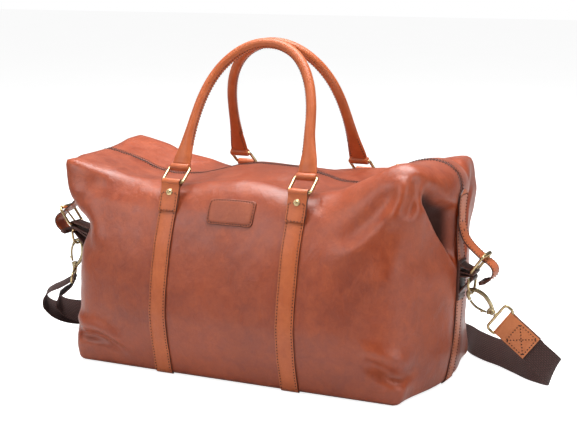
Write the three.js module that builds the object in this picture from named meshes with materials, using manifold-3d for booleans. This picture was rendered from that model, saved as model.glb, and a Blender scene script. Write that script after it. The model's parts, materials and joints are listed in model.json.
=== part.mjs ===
// Leather duffel bag. Millimetres, +Z up, the front faces -Y, the ends face +X and -X.
// The leather parts are laid out on a plain rounded box, and shape() then gives the box its bulge, its sagging
// top and its two raised ends. Everything between two of the box's grid lines stays straight, so a strap laid
// over a panel keeps the same gap to it all the way.
import * as THREE from 'three';
import { mergeVertices } from 'three/addons/utils/BufferGeometryUtils.js';
import Module from 'manifold-3d';

const wasm = await Module();
wasm.setup();

const GAP = 0.3;
const LEATHER = 2.4;
const STRAP_THICK = 2.2;
const HALF = new THREE.Vector3(260, 140, 150);
const EDGE = 30;
const EDGE_BOTTOM = 16;
const EDGE_TOP = 36;
const HALF_ARC = Math.tan(Math.PI / 8);

const STRAP_X = 100;
const STRAP_HALF = 15;
const END_STRIP_HALF = 15;
const END_STRAP_HALF = 13;
const ZIP_HALF = 3.5;
const ZIP_END_Z = 236;
const BASE_HALF_X = 228;
const BASE_HALF_Y = 108;

const RING_WIRE = 1.5;
const RING_WIDE = 30;
const RING_PIVOT = new THREE.Vector3(STRAP_X, 112.5, 273);
const HANDLE_PIVOT = new THREE.Vector3(STRAP_X, 89, 291);
const HANDLE_TOP = new THREE.Vector3(0, 9, 464);
const HANDLE_RADIUS = 7.75;

const BUCKLE_BAR = new THREE.Vector3(312, 0, 163);
const BUCKLE_ROLLER = new THREE.Vector3(330, 0, 188);
const BUCKLE_HALF = 17;
const D_BAR = new THREE.Vector3(309, 0, 153.5);
const D_DROP = 22;
const D_HALF = 15;
// How the left end's hardware stands, against a mirror image of the right end's.
const LEFT_SHIFT = new THREE.Vector3(-20, -20, 16);

const WEB_HALF = 19;
const WEB_THICK = 2;

// The box's grid lines.
const XS = [50, 85, 115, 160, 200, 230, 230 + EDGE * HALF_ARC, 260];
const YS = [16, 60, 110, 110 + EDGE * HALF_ARC, 140];
const BOX_X = [...XS.map((x) => -x).reverse(), 0, ...XS];
const BOX_Y = [...YS.map((y) => -y).reverse(), ...YS];
const SIDE_Z = [16, 50, 90, 130, 170, 200, 230, 264];
const BOX_Z = [0, EDGE_BOTTOM * (1 - HALF_ARC), ...SIDE_Z, 264 + EDGE_TOP * HALF_ARC, 300];

// How deep the bag is from its middle to its face, at each height: in its middle, and at its ends.
const DEEP_Z = [0, 16, 50, 90, 130, 170, 200, 230, 264, 300];
const DEEP_MIDDLE = [137, 142, 153, 158, 154, 145, 137, 127, 117, 108];
const DEEP_END = [137, 140, 146, 149, 146, 139, 131, 120, 108, 97];
const TOWARDS_END = [[0, 115, 160, 200, 230, 260], [0, 0, 0.15, 0.5, 0.8, 1]];
// How far each end stands out, at each height: at its middle, and at its corners.
const OUT_MIDDLE = [15, 18, 24, 28, 31, 31, 30, 30, 33, 28];
const OUT_CORNER = [-5, -2, 2, 3, 2, -3, -8, 4, 17, 24];
const OUT_SHARE_X = [[0, 230, 242.4, 260], [0, 0, 0.35, 1]];
const OUT_SHARE_Y = [[0, 16, 60, 110, 140], [1, 1, 0.75, 0.2, 0]];
// How far the top rises or sags along the bag, and how much of it each height feels.
const SAG_X = [-260, -230, -200, -160, -115, -85, -50, 0, 50, 85, 115, 160, 230, 260];
const SAG = [4, -6, -28, -35, -32, -32, -13, -8, -12, -25, -25, -28, 12, 15];
const SAG_SHARE = [[200, 230, 264, 300], [0, 0.1, 0.55, 1]];

const material = (color, roughness, metalness = 0) =>
  new THREE.MeshStandardMaterial({ color, roughness, metalness });
const TAN = () => material(0xa65a40, 0.42);
const STRAP_TAN = () => material(0xb8693c, 0.45);
const DARK_LEATHER = () => material(0x4a261a, 0.6);
const BRASS = () => material(0xc9b184, 0.28, 1);
const WEBBING = () => material(0x4b3732, 0.9);
const LINING = () => material(0x5b4636, 0.9);

const group = new THREE.Group();
group.name = 'duffel_bag';

function add(name, geometry, mat) {
  const mesh = new THREE.Mesh(geometry, mat);
  mesh.name = name;
  group.add(mesh);
}

function lookUp(xs, ys, x) {
  if (x <= xs[0]) return ys[0];
  for (let i = 1; i < xs.length; i += 1) {
    if (x <= xs[i]) {
      const t = (x - xs[i - 1]) / (xs[i] - xs[i - 1]);
      return ys[i - 1] + t * (ys[i] - ys[i - 1]);
    }
  }
  return ys[ys.length - 1];
}

// From the plain box to the bag.
function shape(p) {
  const far = Math.abs(p.x);
  const end = lookUp(...TOWARDS_END, far);
  const deep = THREE.MathUtils.lerp(lookUp(DEEP_Z, DEEP_MIDDLE, p.z), lookUp(DEEP_Z, DEEP_END, p.z), end);
  const middle = lookUp(...OUT_SHARE_Y, Math.abs(p.y));
  const out = THREE.MathUtils.lerp(lookUp(DEEP_Z, OUT_CORNER, p.z), lookUp(DEEP_Z, OUT_MIDDLE, p.z), middle);
  const rise = lookUp(SAG_X, SAG, p.x) * lookUp(...SAG_SHARE, p.z);
  return new THREE.Vector3(
    p.x + Math.sign(p.x) * out * lookUp(...OUT_SHARE_X, far),
    p.y * (deep / HALF.y),
    p.z + rise,
  );
}

function shaped(geometry) {
  const position = geometry.attributes.position;
  for (let i = 0; i < position.count; i += 1) {
    const p = shape(new THREE.Vector3().fromBufferAttribute(position, i));
    position.setXYZ(i, p.x, p.y, p.z);
  }
  return geometry;
}

function solid(geometry) {
  const g = geometry.clone();
  g.deleteAttribute('normal');
  g.deleteAttribute('uv');
  const merged = mergeVertices(g, 1e-4);
  return new wasm.Manifold(new wasm.Mesh({
    numProp: 3,
    vertProperties: new Float32Array(merged.attributes.position.array),
    triVerts: new Uint32Array(merged.index.array),
  }));
}

function geometryOf(manifold) {
  const made = manifold.getMesh();
  const g = new THREE.BufferGeometry();
  g.setAttribute('position', new THREE.Float32BufferAttribute(made.vertProperties, 3));
  g.setIndex(new THREE.Uint32BufferAttribute(made.triVerts, 1));
  return g;
}

function box(x0, x1, y0, y1, z0, z1) {
  const g = new THREE.BoxGeometry(x1 - x0, y1 - y0, z1 - z0);
  return g.translate((x0 + x1) / 2, (y0 + y1) / 2, (z0 + z1) / 2);
}

function cylinderAlongX(centre, radius, length, sides) {
  const g = new THREE.CylinderGeometry(radius, radius, length, sides);
  return g.rotateZ(Math.PI / 2).translate(centre.x, centre.y, centre.z);
}

function cylinderAlongY(centre, radius, length, sides) {
  const g = new THREE.CylinderGeometry(radius, radius, length, sides);
  return g.translate(centre.x, centre.y, centre.z);
}

// A rounded box with the grid's lines, this far inside the plain box.
function roundedBox(inside, insideBottom) {
  const g = new THREE.BoxGeometry(1, 1, 1, BOX_X.length - 1, BOX_Y.length - 1, BOX_Z.length - 1);
  const position = g.attributes.position;
  const line = (lines, at) => lines[Math.round((at + 0.5) * (lines.length - 1))];
  for (let i = 0; i < position.count; i += 1) {
    const p = new THREE.Vector3(
      line(BOX_X, position.getX(i)),
      line(BOX_Y, position.getY(i)),
      line(BOX_Z, position.getZ(i)),
    );
    const edge = new THREE.Vector3(EDGE, EDGE, p.z < HALF.z ? EDGE_BOTTOM : EDGE_TOP);
    const core = new THREE.Vector3(
      THREE.MathUtils.clamp(p.x, -HALF.x + edge.x, HALF.x - edge.x),
      THREE.MathUtils.clamp(p.y, -HALF.y + edge.y, HALF.y - edge.y),
      THREE.MathUtils.clamp(p.z, edge.z, 2 * HALF.z - edge.z),
    );
    const way = p.clone().sub(core).divide(edge).normalize();
    const below = p.z < HALF.z ? insideBottom : inside;
    const reach = edge.clone().sub(new THREE.Vector3(inside, inside, below));
    const q = core.add(way.multiply(reach));
    position.setXYZ(i, q.x, q.y, q.z);
  }
  return g;
}

// A closed body through sections of points that all have the same count. A ring of sections has no caps.
function skinned(sections, closed = false) {
  const count = sections[0].length;
  const points = sections.flat();
  const index = [];
  const last = closed ? sections.length : sections.length - 1;
  for (let s = 0; s < last; s += 1) {
    const here = s * count;
    const next = ((s + 1) % sections.length) * count;
    for (let i = 0; i < count; i += 1) {
      const j = (i + 1) % count;
      index.push(here + i, here + j, next + j, here + i, next + j, next + i);
    }
  }
  if (!closed) {
    const end = (sections.length - 1) * count;
    for (let i = 1; i < count - 1; i += 1) {
      index.push(0, i + 1, i, end, end + i, end + i + 1);
    }
  }
  const g = new THREE.BufferGeometry().setFromPoints(points);
  g.setIndex(index);
  return facingOut(g);
}

function facingOut(g) {
  const p = g.attributes.position;
  const at = (i) => new THREE.Vector3().fromBufferAttribute(p, g.index.getX(i));
  let volume = 0;
  for (let i = 0; i < g.index.count; i += 3) {
    volume += at(i).dot(at(i + 1).cross(at(i + 2)));
  }
  if (volume < 0) {
    for (let i = 0; i < g.index.count; i += 3) {
      const second = g.index.getX(i + 1);
      g.index.setX(i + 1, g.index.getX(i + 2));
      g.index.setX(i + 2, second);
    }
  }
  return g;
}

// A round bar along a line of points.
function wire(points, radius, sides, closed = false) {
  const sections = points.map((p, i) => {
    const n = points.length;
    const before = points[closed ? (i + n - 1) % n : Math.max(i - 1, 0)];
    const after = points[closed ? (i + 1) % n : Math.min(i + 1, n - 1)];
    const way = after.clone().sub(before).normalize();
    const side = wireSide(points).clone().addScaledVector(way, -wireSide(points).dot(way)).normalize();
    const up = way.clone().cross(side);
    return Array.from({ length: sides }, (_, k) => {
      const turn = (2 * Math.PI * (k + 0.5)) / sides;
      return p.clone()
        .addScaledVector(side, radius * Math.cos(turn))
        .addScaledVector(up, radius * Math.sin(turn));
    });
  });
  return skinned(sections, closed);
}

// The normal of the plane that a bent wire lies in.
function wireSide(points) {
  const a = points[0];
  const b = points[Math.floor(points.length / 3)];
  const c = points[Math.floor((2 * points.length) / 3)];
  return b.clone().sub(a).cross(c.clone().sub(a)).normalize();
}

// The middle line of a rectangular ring: its low bar's centre, its two directions, half its width, its corners.
function rectangle(low, across, rise, half, corner) {
  const tall = rise.length();
  const up = rise.clone().normalize();
  const points = [];
  for (const [a, b, start] of [[1, 0, -0.5], [1, 1, 0], [-1, 1, 0.5], [-1, 0, 1]]) {
    for (const step of [0, 0.25, 0.5]) {
      const turn = (start + step) * Math.PI;
      const u = a * (half - corner) + corner * Math.cos(turn);
      const v = (b ? tall - corner : corner) + corner * Math.sin(turn);
      points.push(low.clone().addScaledVector(across, u).addScaledVector(up, v));
    }
  }
  return points;
}

// A flat strip over the box. Each station is a spot on the box and the way out of it; cross is the strip's width.
function stripOn(stations, side, from, to, inner, thick) {
  return skinned(stations.map(({ at, out }) => {
    const corner = (across, lift) => {
      const p = at.clone().addScaledVector(out, lift);
      p[side] = across;
      return shape(p);
    };
    return [
      corner(from, inner),
      corner(to, inner),
      corner(to, inner + thick),
      corner(from, inner + thick),
    ];
  }));
}

// Stations down a face of the box from one height, and round its bottom edge up to an angle.
function downFace(axis, sign, top, bottom, turn) {
  const face = HALF[axis];
  const station = (across, z, angle) => {
    const at = new THREE.Vector3(0, 0, z);
    at[axis] = sign * across;
    const out = new THREE.Vector3(0, 0, -Math.sin(angle));
    out[axis] = sign * Math.cos(angle);
    return { at, out };
  };
  const heights = [top, ...SIDE_Z.filter((z) => z < top && z > bottom).reverse(), bottom];
  const list = heights.map((z) => station(face, z, 0));
  for (const angle of [22.5, 45, turn].filter((a) => a <= turn)) {
    const a = THREE.MathUtils.degToRad(angle);
    const across = face - EDGE + EDGE * Math.cos(a);
    list.push(station(across, EDGE_BOTTOM - EDGE_BOTTOM * Math.sin(a), a));
  }
  return list;
}

// Stations along the top of the box from one end's zip end to the other's.
function overTop() {
  const list = [];
  for (const sign of [-1, 1]) {
    const half = [{ at: new THREE.Vector3(sign * HALF.x, 0, ZIP_END_Z), out: new THREE.Vector3(sign, 0, 0) }];
    for (const angle of [0, 22.5, 45, 67.5, 90]) {
      const a = THREE.MathUtils.degToRad(angle);
      half.push({
        at: new THREE.Vector3(
          sign * (HALF.x - EDGE + EDGE * Math.cos(a)),
          0,
          2 * HALF.z - EDGE_TOP + EDGE_TOP * Math.sin(a),
        ),
        out: new THREE.Vector3(sign * Math.cos(a), 0, Math.sin(a)),
      });
    }
    list.push(half);
  }
  const flat = BOX_X.filter((x) => Math.abs(x) < HALF.x - EDGE).map((x) => ({
    at: new THREE.Vector3(x, 0, 2 * HALF.z),
    out: new THREE.Vector3(0, 0, 1),
  }));
  return [...list[0], ...flat, ...list[1].reverse()];
}

// ---- body of the bag
const outer = solid(shaped(roundedBox(0, 0)));
const shell = outer.subtract(solid(shaped(roundedBox(LEATHER, LEATHER))));
const baseX = BASE_HALF_X - GAP;
const baseY = BASE_HALF_Y - GAP;
const zipCut = solid(box(-320, 320, -ZIP_HALF, ZIP_HALF, ZIP_END_Z, 350));
const seamCut = solid(box(-320, 320, -GAP / 2, GAP / 2, -20, ZIP_END_Z + 1));
const baseCut = solid(box(-BASE_HALF_X, BASE_HALF_X, -BASE_HALF_Y, BASE_HALF_Y, -20, 12));
const leather = shell.subtract(zipCut).subtract(seamCut).subtract(baseCut);
const frontHalf = solid(box(-400, 400, -300, 0, -50, 400));
const backHalf = solid(box(-400, 400, 0, 300, -50, 400));
add('front_panel', geometryOf(leather.intersect(frontHalf)), TAN());
add('back_panel', geometryOf(leather.intersect(backHalf)), TAN());
add('base_panel', box(-baseX, baseX, -baseY, baseY, 0, LEATHER), TAN());
const boardZ = LEATHER + GAP;
add('base_board', box(-215, 215, -100, 100, boardZ, boardZ + 3), DARK_LEATHER());

const LINING_IN = LEATHER + 0.5;
const LINING_THICK = 0.9;
const LINING_BOTTOM = boardZ + 3 + 0.5;
const liningSlot = solid(box(-320, 320, -17, 17, ZIP_END_Z - 8, 350));
const lining = solid(shaped(roundedBox(LINING_IN, LINING_BOTTOM)))
  .subtract(solid(shaped(roundedBox(LINING_IN + LINING_THICK, LINING_BOTTOM + LINING_THICK))))
  .subtract(liningSlot);
add('lining', geometryOf(lining), LINING());

// ---- straps stitched over the faces, and the label patch
const SIDES = [['front', -1], ['back', 1]];
const ENDS = [['left', -1], ['right', 1]];
const STRAP_END_TURN = 50;
for (const [side, y] of SIDES) {
  for (const [end, x] of ENDS) {
    const stations = downFace('y', y, 252, EDGE_BOTTOM, STRAP_END_TURN);
    const from = x * STRAP_X - STRAP_HALF;
    const strap = stripOn(stations, 'x', from, from + 2 * STRAP_HALF, GAP, STRAP_THICK);
    add(`${side}_${end}_strap`, strap, STRAP_TAN());
  }
}
for (const [end, x] of ENDS) {
  const stations = downFace('x', x, ZIP_END_Z - 6, EDGE_BOTTOM, STRAP_END_TURN);
  const strip = stripOn(stations, 'y', -END_STRIP_HALF, END_STRIP_HALF, GAP, STRAP_THICK);
  add(`${end}_end_strip`, strip, STRAP_TAN());
}
const LABEL = { from: -25, to: 47, bottom: 226, top: 260 };
const labelCentre = (LABEL.from + LABEL.to) / 2;
const labelStations = [LABEL.top, 230, LABEL.bottom].map((z) => ({
  at: new THREE.Vector3(0, -HALF.y, z),
  out: new THREE.Vector3(0, -1, 0),
}));
const labelOf = (from, to) => stripOn(labelStations, 'x', from, to, GAP + 0.3, 1.6);
const labelHalves = [solid(labelOf(LABEL.from, 0)), solid(labelOf(0, LABEL.to))];
const labelOutline = new THREE.Shape();
const labelWide = (LABEL.to - LABEL.from) / 2;
const LABEL_CORNER = 5;
const LABEL_TALL = 16.5;
labelOutline.moveTo(-labelWide + LABEL_CORNER, -LABEL_TALL);
for (const [x, z, start] of [[1, -1, -0.5], [1, 1, 0], [-1, 1, 0.5], [-1, -1, 1]]) {
  const cx = x * (labelWide - LABEL_CORNER);
  const cz = z * (LABEL_TALL - LABEL_CORNER);
  labelOutline.absarc(cx, cz, LABEL_CORNER, start * Math.PI, (start + 0.5) * Math.PI, false);
}
const labelCut = new THREE.ExtrudeGeometry(labelOutline, { depth: 60, bevelEnabled: false, curveSegments: 3 })
  .rotateX(Math.PI / 2)
  .translate(labelCentre, -90, 240.5);
add('label_patch', geometryOf(labelHalves[0].add(labelHalves[1]).intersect(solid(labelCut))), STRAP_TAN());

// ---- zip
const ZIP_DEEP = LEATHER + 0.25;
const along = overTop();
add('zip_chain', stripOn(along, 'y', -ZIP_HALF + GAP, ZIP_HALF - GAP, -2.3, 2), BRASS());
for (const [side, y] of SIDES) {
  const near = y * ZIP_HALF;
  const edge = y * 15;
  const tape = stripOn(along, 'y', Math.min(near, edge), Math.max(near, edge), -ZIP_DEEP - 0.5, 0.5);
  add(`zip_tape_${side}`, tape, DARK_LEATHER());
}

// The slider stands on the straight rise of the zip towards the right end.
const SLIDER_X = 200;
const SLIDER_HALF = new THREE.Vector3(7, 4.5, 1.6);
const sliderFoot = shape(new THREE.Vector3(SLIDER_X, 0, 300));
const riseEnd = shape(new THREE.Vector3(229, 0, 300));
const zipWay = riseEnd.clone().sub(sliderFoot).normalize();
const zipTurn = -Math.atan2(zipWay.z, zipWay.x);
const onZip = (geometry) => geometry.rotateY(zipTurn).translate(sliderFoot.x, sliderFoot.y, sliderFoot.z);
const PULL_PIN_Z = 7;
const sliderPlate = solid(box(-SLIDER_HALF.x, SLIDER_HALF.x, -SLIDER_HALF.y, SLIDER_HALF.y, 0.5, 3.2));
const bridge = solid(box(-4.5, 4.5, -1, 1, 3, 9)).subtract(
  solid(cylinderAlongY(new THREE.Vector3(0, 0, PULL_PIN_Z - 0.4), 1.5, 6, 10)),
);
add('zip_slider', onZip(geometryOf(sliderPlate.add(bridge))), BRASS());
const pull = solid(box(-27, 1.4, -3.6, 3.6, PULL_PIN_Z - 1.1, PULL_PIN_Z + 0.3))
  .subtract(solid(box(-6.4, -0.9, -1.5, 1.5, 0, 12)))
  .subtract(solid(box(0.9, 3, -1.5, 1.5, 0, 12)))
  .subtract(solid(box(-1, 1, -1.5, 1.5, 0, 12)))
  .add(solid(cylinderAlongY(new THREE.Vector3(0, 0, PULL_PIN_Z - 0.4), 1, 6.4, 8)));
add('zip_pull', onZip(geometryOf(pull)), BRASS());

// ---- rings, chapes and handles
const BAR_HOLE = RING_WIRE + 0.4;
const FOLD_RADIUS = BAR_HOLE + STRAP_THICK;
const FOLD_LENGTH = 25;
const RIVET_UP = 10.5;

function ringPoints(x, y) {
  const low = RING_PIVOT.clone().multiply(new THREE.Vector3(x, y, 1));
  const high = HANDLE_PIVOT.clone().multiply(new THREE.Vector3(x, y, 1));
  return rectangle(low, new THREE.Vector3(1, 0, 0), high.clone().sub(low), RING_WIDE / 2, 2);
}

function chape(x, y) {
  const pivot = RING_PIVOT.clone().multiply(new THREE.Vector3(x, y, 1));
  const lift = GAP + STRAP_THICK + GAP;
  const tab = downFace('y', y, 264, 232, 0).filter(({ at }) => at.z >= 232);
  const heights = tab.map(({ at }) => at.z);
  const from = pivot.x - FOLD_LENGTH / 2;
  const sections = heights.map((z) => {
    const corner = (across, out) => shape(new THREE.Vector3(across, y * (HALF.y + out), z));
    return [
      corner(from, lift),
      corner(from + FOLD_LENGTH, lift),
      corner(from + FOLD_LENGTH, lift + STRAP_THICK),
      corner(from, lift + STRAP_THICK),
    ];
  });
  const neckLow = new THREE.Vector3(0, pivot.y + y * 0.6, pivot.z - 1.2);
  const neckHigh = new THREE.Vector3(0, pivot.y + y * (FOLD_RADIUS - 0.4), pivot.z - 0.6);
  const neck = [
    neckLow.clone().setX(from),
    neckLow.clone().setX(from + FOLD_LENGTH),
    neckHigh.clone().setX(from + FOLD_LENGTH),
    neckHigh.clone().setX(from),
  ];
  return solid(skinned([neck, ...sections]))
    .add(solid(cylinderAlongX(pivot, FOLD_RADIUS, FOLD_LENGTH, 14)))
    .subtract(solid(cylinderAlongX(pivot, BAR_HOLE, 60, 12)));
}

function rivet(x, y) {
  const lift = GAP + STRAP_THICK + GAP + STRAP_THICK;
  const low = shape(new THREE.Vector3(x * STRAP_X, y * (HALF.y + lift), 264));
  const high = new THREE.Vector3(x * STRAP_X, y * (RING_PIVOT.y + FOLD_RADIUS - 0.4), RING_PIVOT.z - 0.6);
  const up = high.sub(low).normalize();
  const out = new THREE.Vector3(-1, 0, 0).cross(up).multiplyScalar(y);
  const at = low.addScaledVector(up, RIVET_UP).addScaledVector(out, GAP);
  const profile = [[0, 0], [4.8, 0], [4.8, 0.7], [4, 1.6], [2.3, 2.4], [0, 2.7]];
  const g = new THREE.LatheGeometry(profile.map(([r, h]) => new THREE.Vector2(r, h)), 14);
  const turn = new THREE.Quaternion().setFromUnitVectors(new THREE.Vector3(0, 1, 0), out);
  return facingOut(mergeVertices(cleaned(g).applyQuaternion(turn).translate(at.x, at.y, at.z), 1e-4));
}

function cleaned(g) {
  g.deleteAttribute('normal');
  g.deleteAttribute('uv');
  return g;
}

// Half of the handle's middle line, in its own plane: out from the middle, and up from the ring's bar.
const HANDLE_LINE = [[100, 1], [100, 8], [99, 20], [97.5, 38], [95.5, 60], [93, 82], [88.5, 107], [80, 133],
  [66, 157], [46, 177], [23, 189], [0, 192.5]];
const HANDLE_WIDE = [[1, 8, 20, 38, 60, 82], [13.5, 13.6, 12.6, 10, 8.4, HANDLE_RADIUS]];
const HANDLE_THICK = [[1, 8, 20, 38, 60, 82], [2.8, 3, 4, 6, 7.2, HANDLE_RADIUS]];

function handle(y) {
  const foot = HANDLE_PIVOT.clone().multiply(new THREE.Vector3(0, y, 1));
  const top = HANDLE_TOP.clone().multiply(new THREE.Vector3(0, y, 1));
  const up = top.sub(foot).normalize();
  const across = new THREE.Vector3(1, 0, 0);
  const normal = across.clone().cross(up);
  const left = HANDLE_LINE.map(([out, rise]) => [-out, rise]);
  const right = HANDLE_LINE.slice(0, -1).reverse();
  const line = [...left, ...right];
  const sections = line.map(([out, rise], i) => {
    const [x0, r0] = line[Math.max(i - 1, 0)];
    const [x1, r1] = line[Math.min(i + 1, line.length - 1)];
    const way = new THREE.Vector2(x1 - x0, r1 - r0).normalize();
    const wide = lookUp(...HANDLE_WIDE, rise);
    const thick = lookUp(...HANDLE_THICK, rise);
    return Array.from({ length: 12 }, (_, k) => {
      const turn = (2 * Math.PI * k) / 12;
      const a = wide * Math.cos(turn);
      return foot.clone()
        .addScaledVector(across, out - a * way.y)
        .addScaledVector(up, rise + a * way.x)
        .addScaledVector(normal, thick * Math.sin(turn));
    });
  });
  let made = solid(skinned(sections));
  for (const x of [-STRAP_X, STRAP_X]) {
    const at = foot.clone().setX(x);
    made = made.add(solid(cylinderAlongX(at, FOLD_RADIUS, FOLD_LENGTH, 14)));
  }
  for (const x of [-STRAP_X, STRAP_X]) {
    made = made.subtract(solid(cylinderAlongX(foot.clone().setX(x), BAR_HOLE, 60, 12)));
  }
  return made;
}

for (const [side, y] of SIDES) {
  for (const [end, x] of ENDS) {
    add(`${side}_${end}_chape`, geometryOf(chape(x, y)), STRAP_TAN());
    add(`${side}_${end}_rivet`, rivet(x, y), BRASS());
    add(`${side}_${end}_ring`, wire(ringPoints(x, y), RING_WIRE, 8, true), BRASS());
  }
  add(`${side}_handle`, geometryOf(handle(y)), STRAP_TAN());
}

// ---- compression strap, buckle, anchor and D-ring of one end, in the right end's place
const END_STRAP_LINE = [[295.4, 264], [294.9, 250], [294.3, 236], [294.8, 222], [298, 211], [304, 202], [312, 194],
  [320, 187.5], [327, 182], [335, 177.5], [341, 171.5], [342.3, 164.5], [339, 157.5], [331.5, 151.5], [323, 149]];
const PRONG_TIP = new THREE.Vector3(333.8, 0, 186.4);

function ribbon(line, halfWide, thick) {
  return skinned(line.map(([x, z], i) => {
    const [x0, z0] = line[Math.max(i - 1, 0)];
    const [x1, z1] = line[Math.min(i + 1, line.length - 1)];
    const way = new THREE.Vector2(x1 - x0, z1 - z0).normalize();
    const corner = (y, h) => new THREE.Vector3(x - h * way.y, y, z + h * way.x);
    return [
      corner(-halfWide, -thick / 2),
      corner(halfWide, -thick / 2),
      corner(halfWide, thick / 2),
      corner(-halfWide, thick / 2),
    ];
  }));
}

function prongLine() {
  const way = PRONG_TIP.clone().sub(BUCKLE_BAR).normalize();
  return { way, start: BUCKLE_BAR.clone().addScaledVector(way, 3.4) };
}

const STRAP_HOLE = 3.5;
function endStrap() {
  const { way } = prongLine();
  const hole = new THREE.CylinderGeometry(STRAP_HOLE, STRAP_HOLE, 24, 12);
  hole.applyQuaternion(new THREE.Quaternion().setFromUnitVectors(new THREE.Vector3(0, 1, 0), way));
  const at = BUCKLE_BAR.clone().addScaledVector(way, 22);
  const strap = solid(ribbon(END_STRAP_LINE, END_STRAP_HALF, STRAP_THICK));
  return strap.subtract(solid(hole.translate(at.x, 0, at.z)));
}

function buckleFrame() {
  const rise = BUCKLE_ROLLER.clone().sub(BUCKLE_BAR);
  const points = rectangle(BUCKLE_BAR, new THREE.Vector3(0, 1, 0), rise, BUCKLE_HALF, 3);
  return solid(wire(points, 1.6, 8, true)).add(solid(cylinderAlongY(BUCKLE_ROLLER, 2.3, 26, 10)));
}

function prong() {
  const { way, start } = prongLine();
  const eye = solid(cylinderAlongY(BUCKLE_BAR, 3.6, 3, 12));
  const line = [start.clone().addScaledVector(way, -1), PRONG_TIP.clone().addScaledVector(way, 1)];
  const side = new THREE.Vector3(0, 1, 0);
  const up = way.clone().cross(side);
  const sections = line.map((p) => [[-1, -1], [1, -1], [1, 1], [-1, 1]].map(([a, b]) => p.clone()
    .addScaledVector(side, 1.2 * a)
    .addScaledVector(up, 1 * b)));
  return eye.add(solid(skinned(sections))).subtract(solid(cylinderAlongY(BUCKLE_BAR, 2, 10, 12)));
}

const ANCHOR_HALF = 12;
const ANCHOR_WALL_X = 294.2;
function anchor() {
  const plate = box(ANCHOR_WALL_X, ANCHOR_WALL_X + 2, -ANCHOR_HALF, ANCHOR_HALF, 122, 168);
  let made = solid(plate);
  for (const [bar, bore] of [[BUCKLE_BAR, 2], [D_BAR, 2]]) {
    const fold = bore + STRAP_THICK;
    const arm = box(ANCHOR_WALL_X + 0.5, bar.x, -ANCHOR_HALF, ANCHOR_HALF, bar.z - 3.2, bar.z + 3.2);
    made = made.add(solid(arm)).add(solid(cylinderAlongY(bar, fold, 2 * ANCHOR_HALF, 14)));
  }
  for (const bar of [BUCKLE_BAR, D_BAR]) {
    made = made.subtract(solid(cylinderAlongY(bar, 2, 60, 12)));
  }
  const prongSlot = box(BUCKLE_BAR.x - 5.5, BUCKLE_BAR.x + 8, -2.1, 2.1, BUCKLE_BAR.z - 5, BUCKLE_BAR.z + 12);
  return made.subtract(solid(prongSlot));
}

function keeper() {
  const outside = box(-3.6, 3.6, -END_STRAP_HALF - 2.4, END_STRAP_HALF + 2.4, -3.4, 3.4);
  const wide = END_STRAP_HALF + GAP;
  const thick = STRAP_THICK / 2 + GAP;
  const hole = box(-6, 6, -wide, wide, -thick, thick);
  const band = geometryOf(solid(outside).subtract(solid(hole)));
  const [x0, z0] = END_STRAP_LINE[13];
  const [x1, z1] = END_STRAP_LINE[14];
  return band.rotateY(-Math.atan2(z1 - z0, x1 - x0)).translate((x0 + x1) / 2, 0, (z0 + z1) / 2);
}

function dRing() {
  const points = [];
  for (let i = 0; i <= 8; i += 1) {
    const turn = Math.PI * (1 + i / 8);
    const z = D_BAR.z - 5 + (D_DROP - 5) * Math.sin(turn);
    points.push(new THREE.Vector3(D_BAR.x, D_HALF * Math.cos(turn), z));
  }
  for (const [y, drop] of [[D_HALF, 1.8], [D_HALF - 1.6, 0], [1.6 - D_HALF, 0], [-D_HALF, 1.8]]) {
    points.push(new THREE.Vector3(D_BAR.x, y, D_BAR.z - drop));
  }
  return wire(points, RING_WIRE, 8, true);
}

function atEnd(x, geometry) {
  if (x > 0) return geometry;
  const g = geometry.index ? geometry.clone() : mergeVertices(geometry);
  g.scale(-1, 1, 1).translate(LEFT_SHIFT.x, LEFT_SHIFT.y, LEFT_SHIFT.z);
  return facingOut(g);
}

// The left strap starts on the bag and leans over to its shifted buckle.
function leanedStrap(geometry) {
  const position = geometry.attributes.position;
  for (let i = 0; i < position.count; i += 1) {
    const share = THREE.MathUtils.clamp((position.getZ(i) - 205) / 50, 0, 1);
    position.setXYZ(
      i,
      position.getX(i) - LEFT_SHIFT.x * share,
      position.getY(i) - LEFT_SHIFT.y * share,
      position.getZ(i) - LEFT_SHIFT.z * share,
    );
  }
  return geometry;
}

for (const [end, x] of ENDS) {
  const strap = atEnd(x, geometryOf(endStrap()));
  add(`${end}_end_strap`, x > 0 ? strap : leanedStrap(strap), STRAP_TAN());
  add(`${end}_buckle_frame`, atEnd(x, geometryOf(buckleFrame())), BRASS());
  add(`${end}_buckle_prong`, atEnd(x, geometryOf(prong())), BRASS());
  add(`${end}_anchor`, atEnd(x, geometryOf(anchor())), DARK_LEATHER());
  add(`${end}_keeper`, atEnd(x, keeper()), DARK_LEATHER());
  add(`${end}_d_ring`, atEnd(x, dRing()), BRASS());
}

// ---- snap hooks: an oval hook and gate, a swivel post, and the webbing's loop
const HOOK_LONG = 46;
const HOOK_WIDE = 21;
const HOOK_WIRE = 2.2;
// How far the D-ring's wire lies from the swivel, inside the far end of the hook.
const HOOK_REACH = 44;
// For each end: the way from the hook to the webbing, and the webbing's width.
const HOOK_WAYS = {
  right: { way: [0.79, 0, -0.613], wide: [0.613, 0, 0.79] },
  left: { way: [-0.2, 0, -0.98], wide: [-0.45, 0.888, 0.092] },
};

function hookFrame(end) {
  const way = new THREE.Vector3(...HOOK_WAYS[end].way).normalize();
  const wide = new THREE.Vector3(...HOOK_WAYS[end].wide);
  wide.addScaledVector(way, -wide.dot(way)).normalize();
  const at = D_BAR.clone();
  at.z -= D_DROP;
  if (end === 'left') at.multiply(new THREE.Vector3(-1, 1, 1)).add(LEFT_SHIFT);
  at.addScaledVector(way, HOOK_REACH);
  return { at, way, wide };
}

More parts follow.
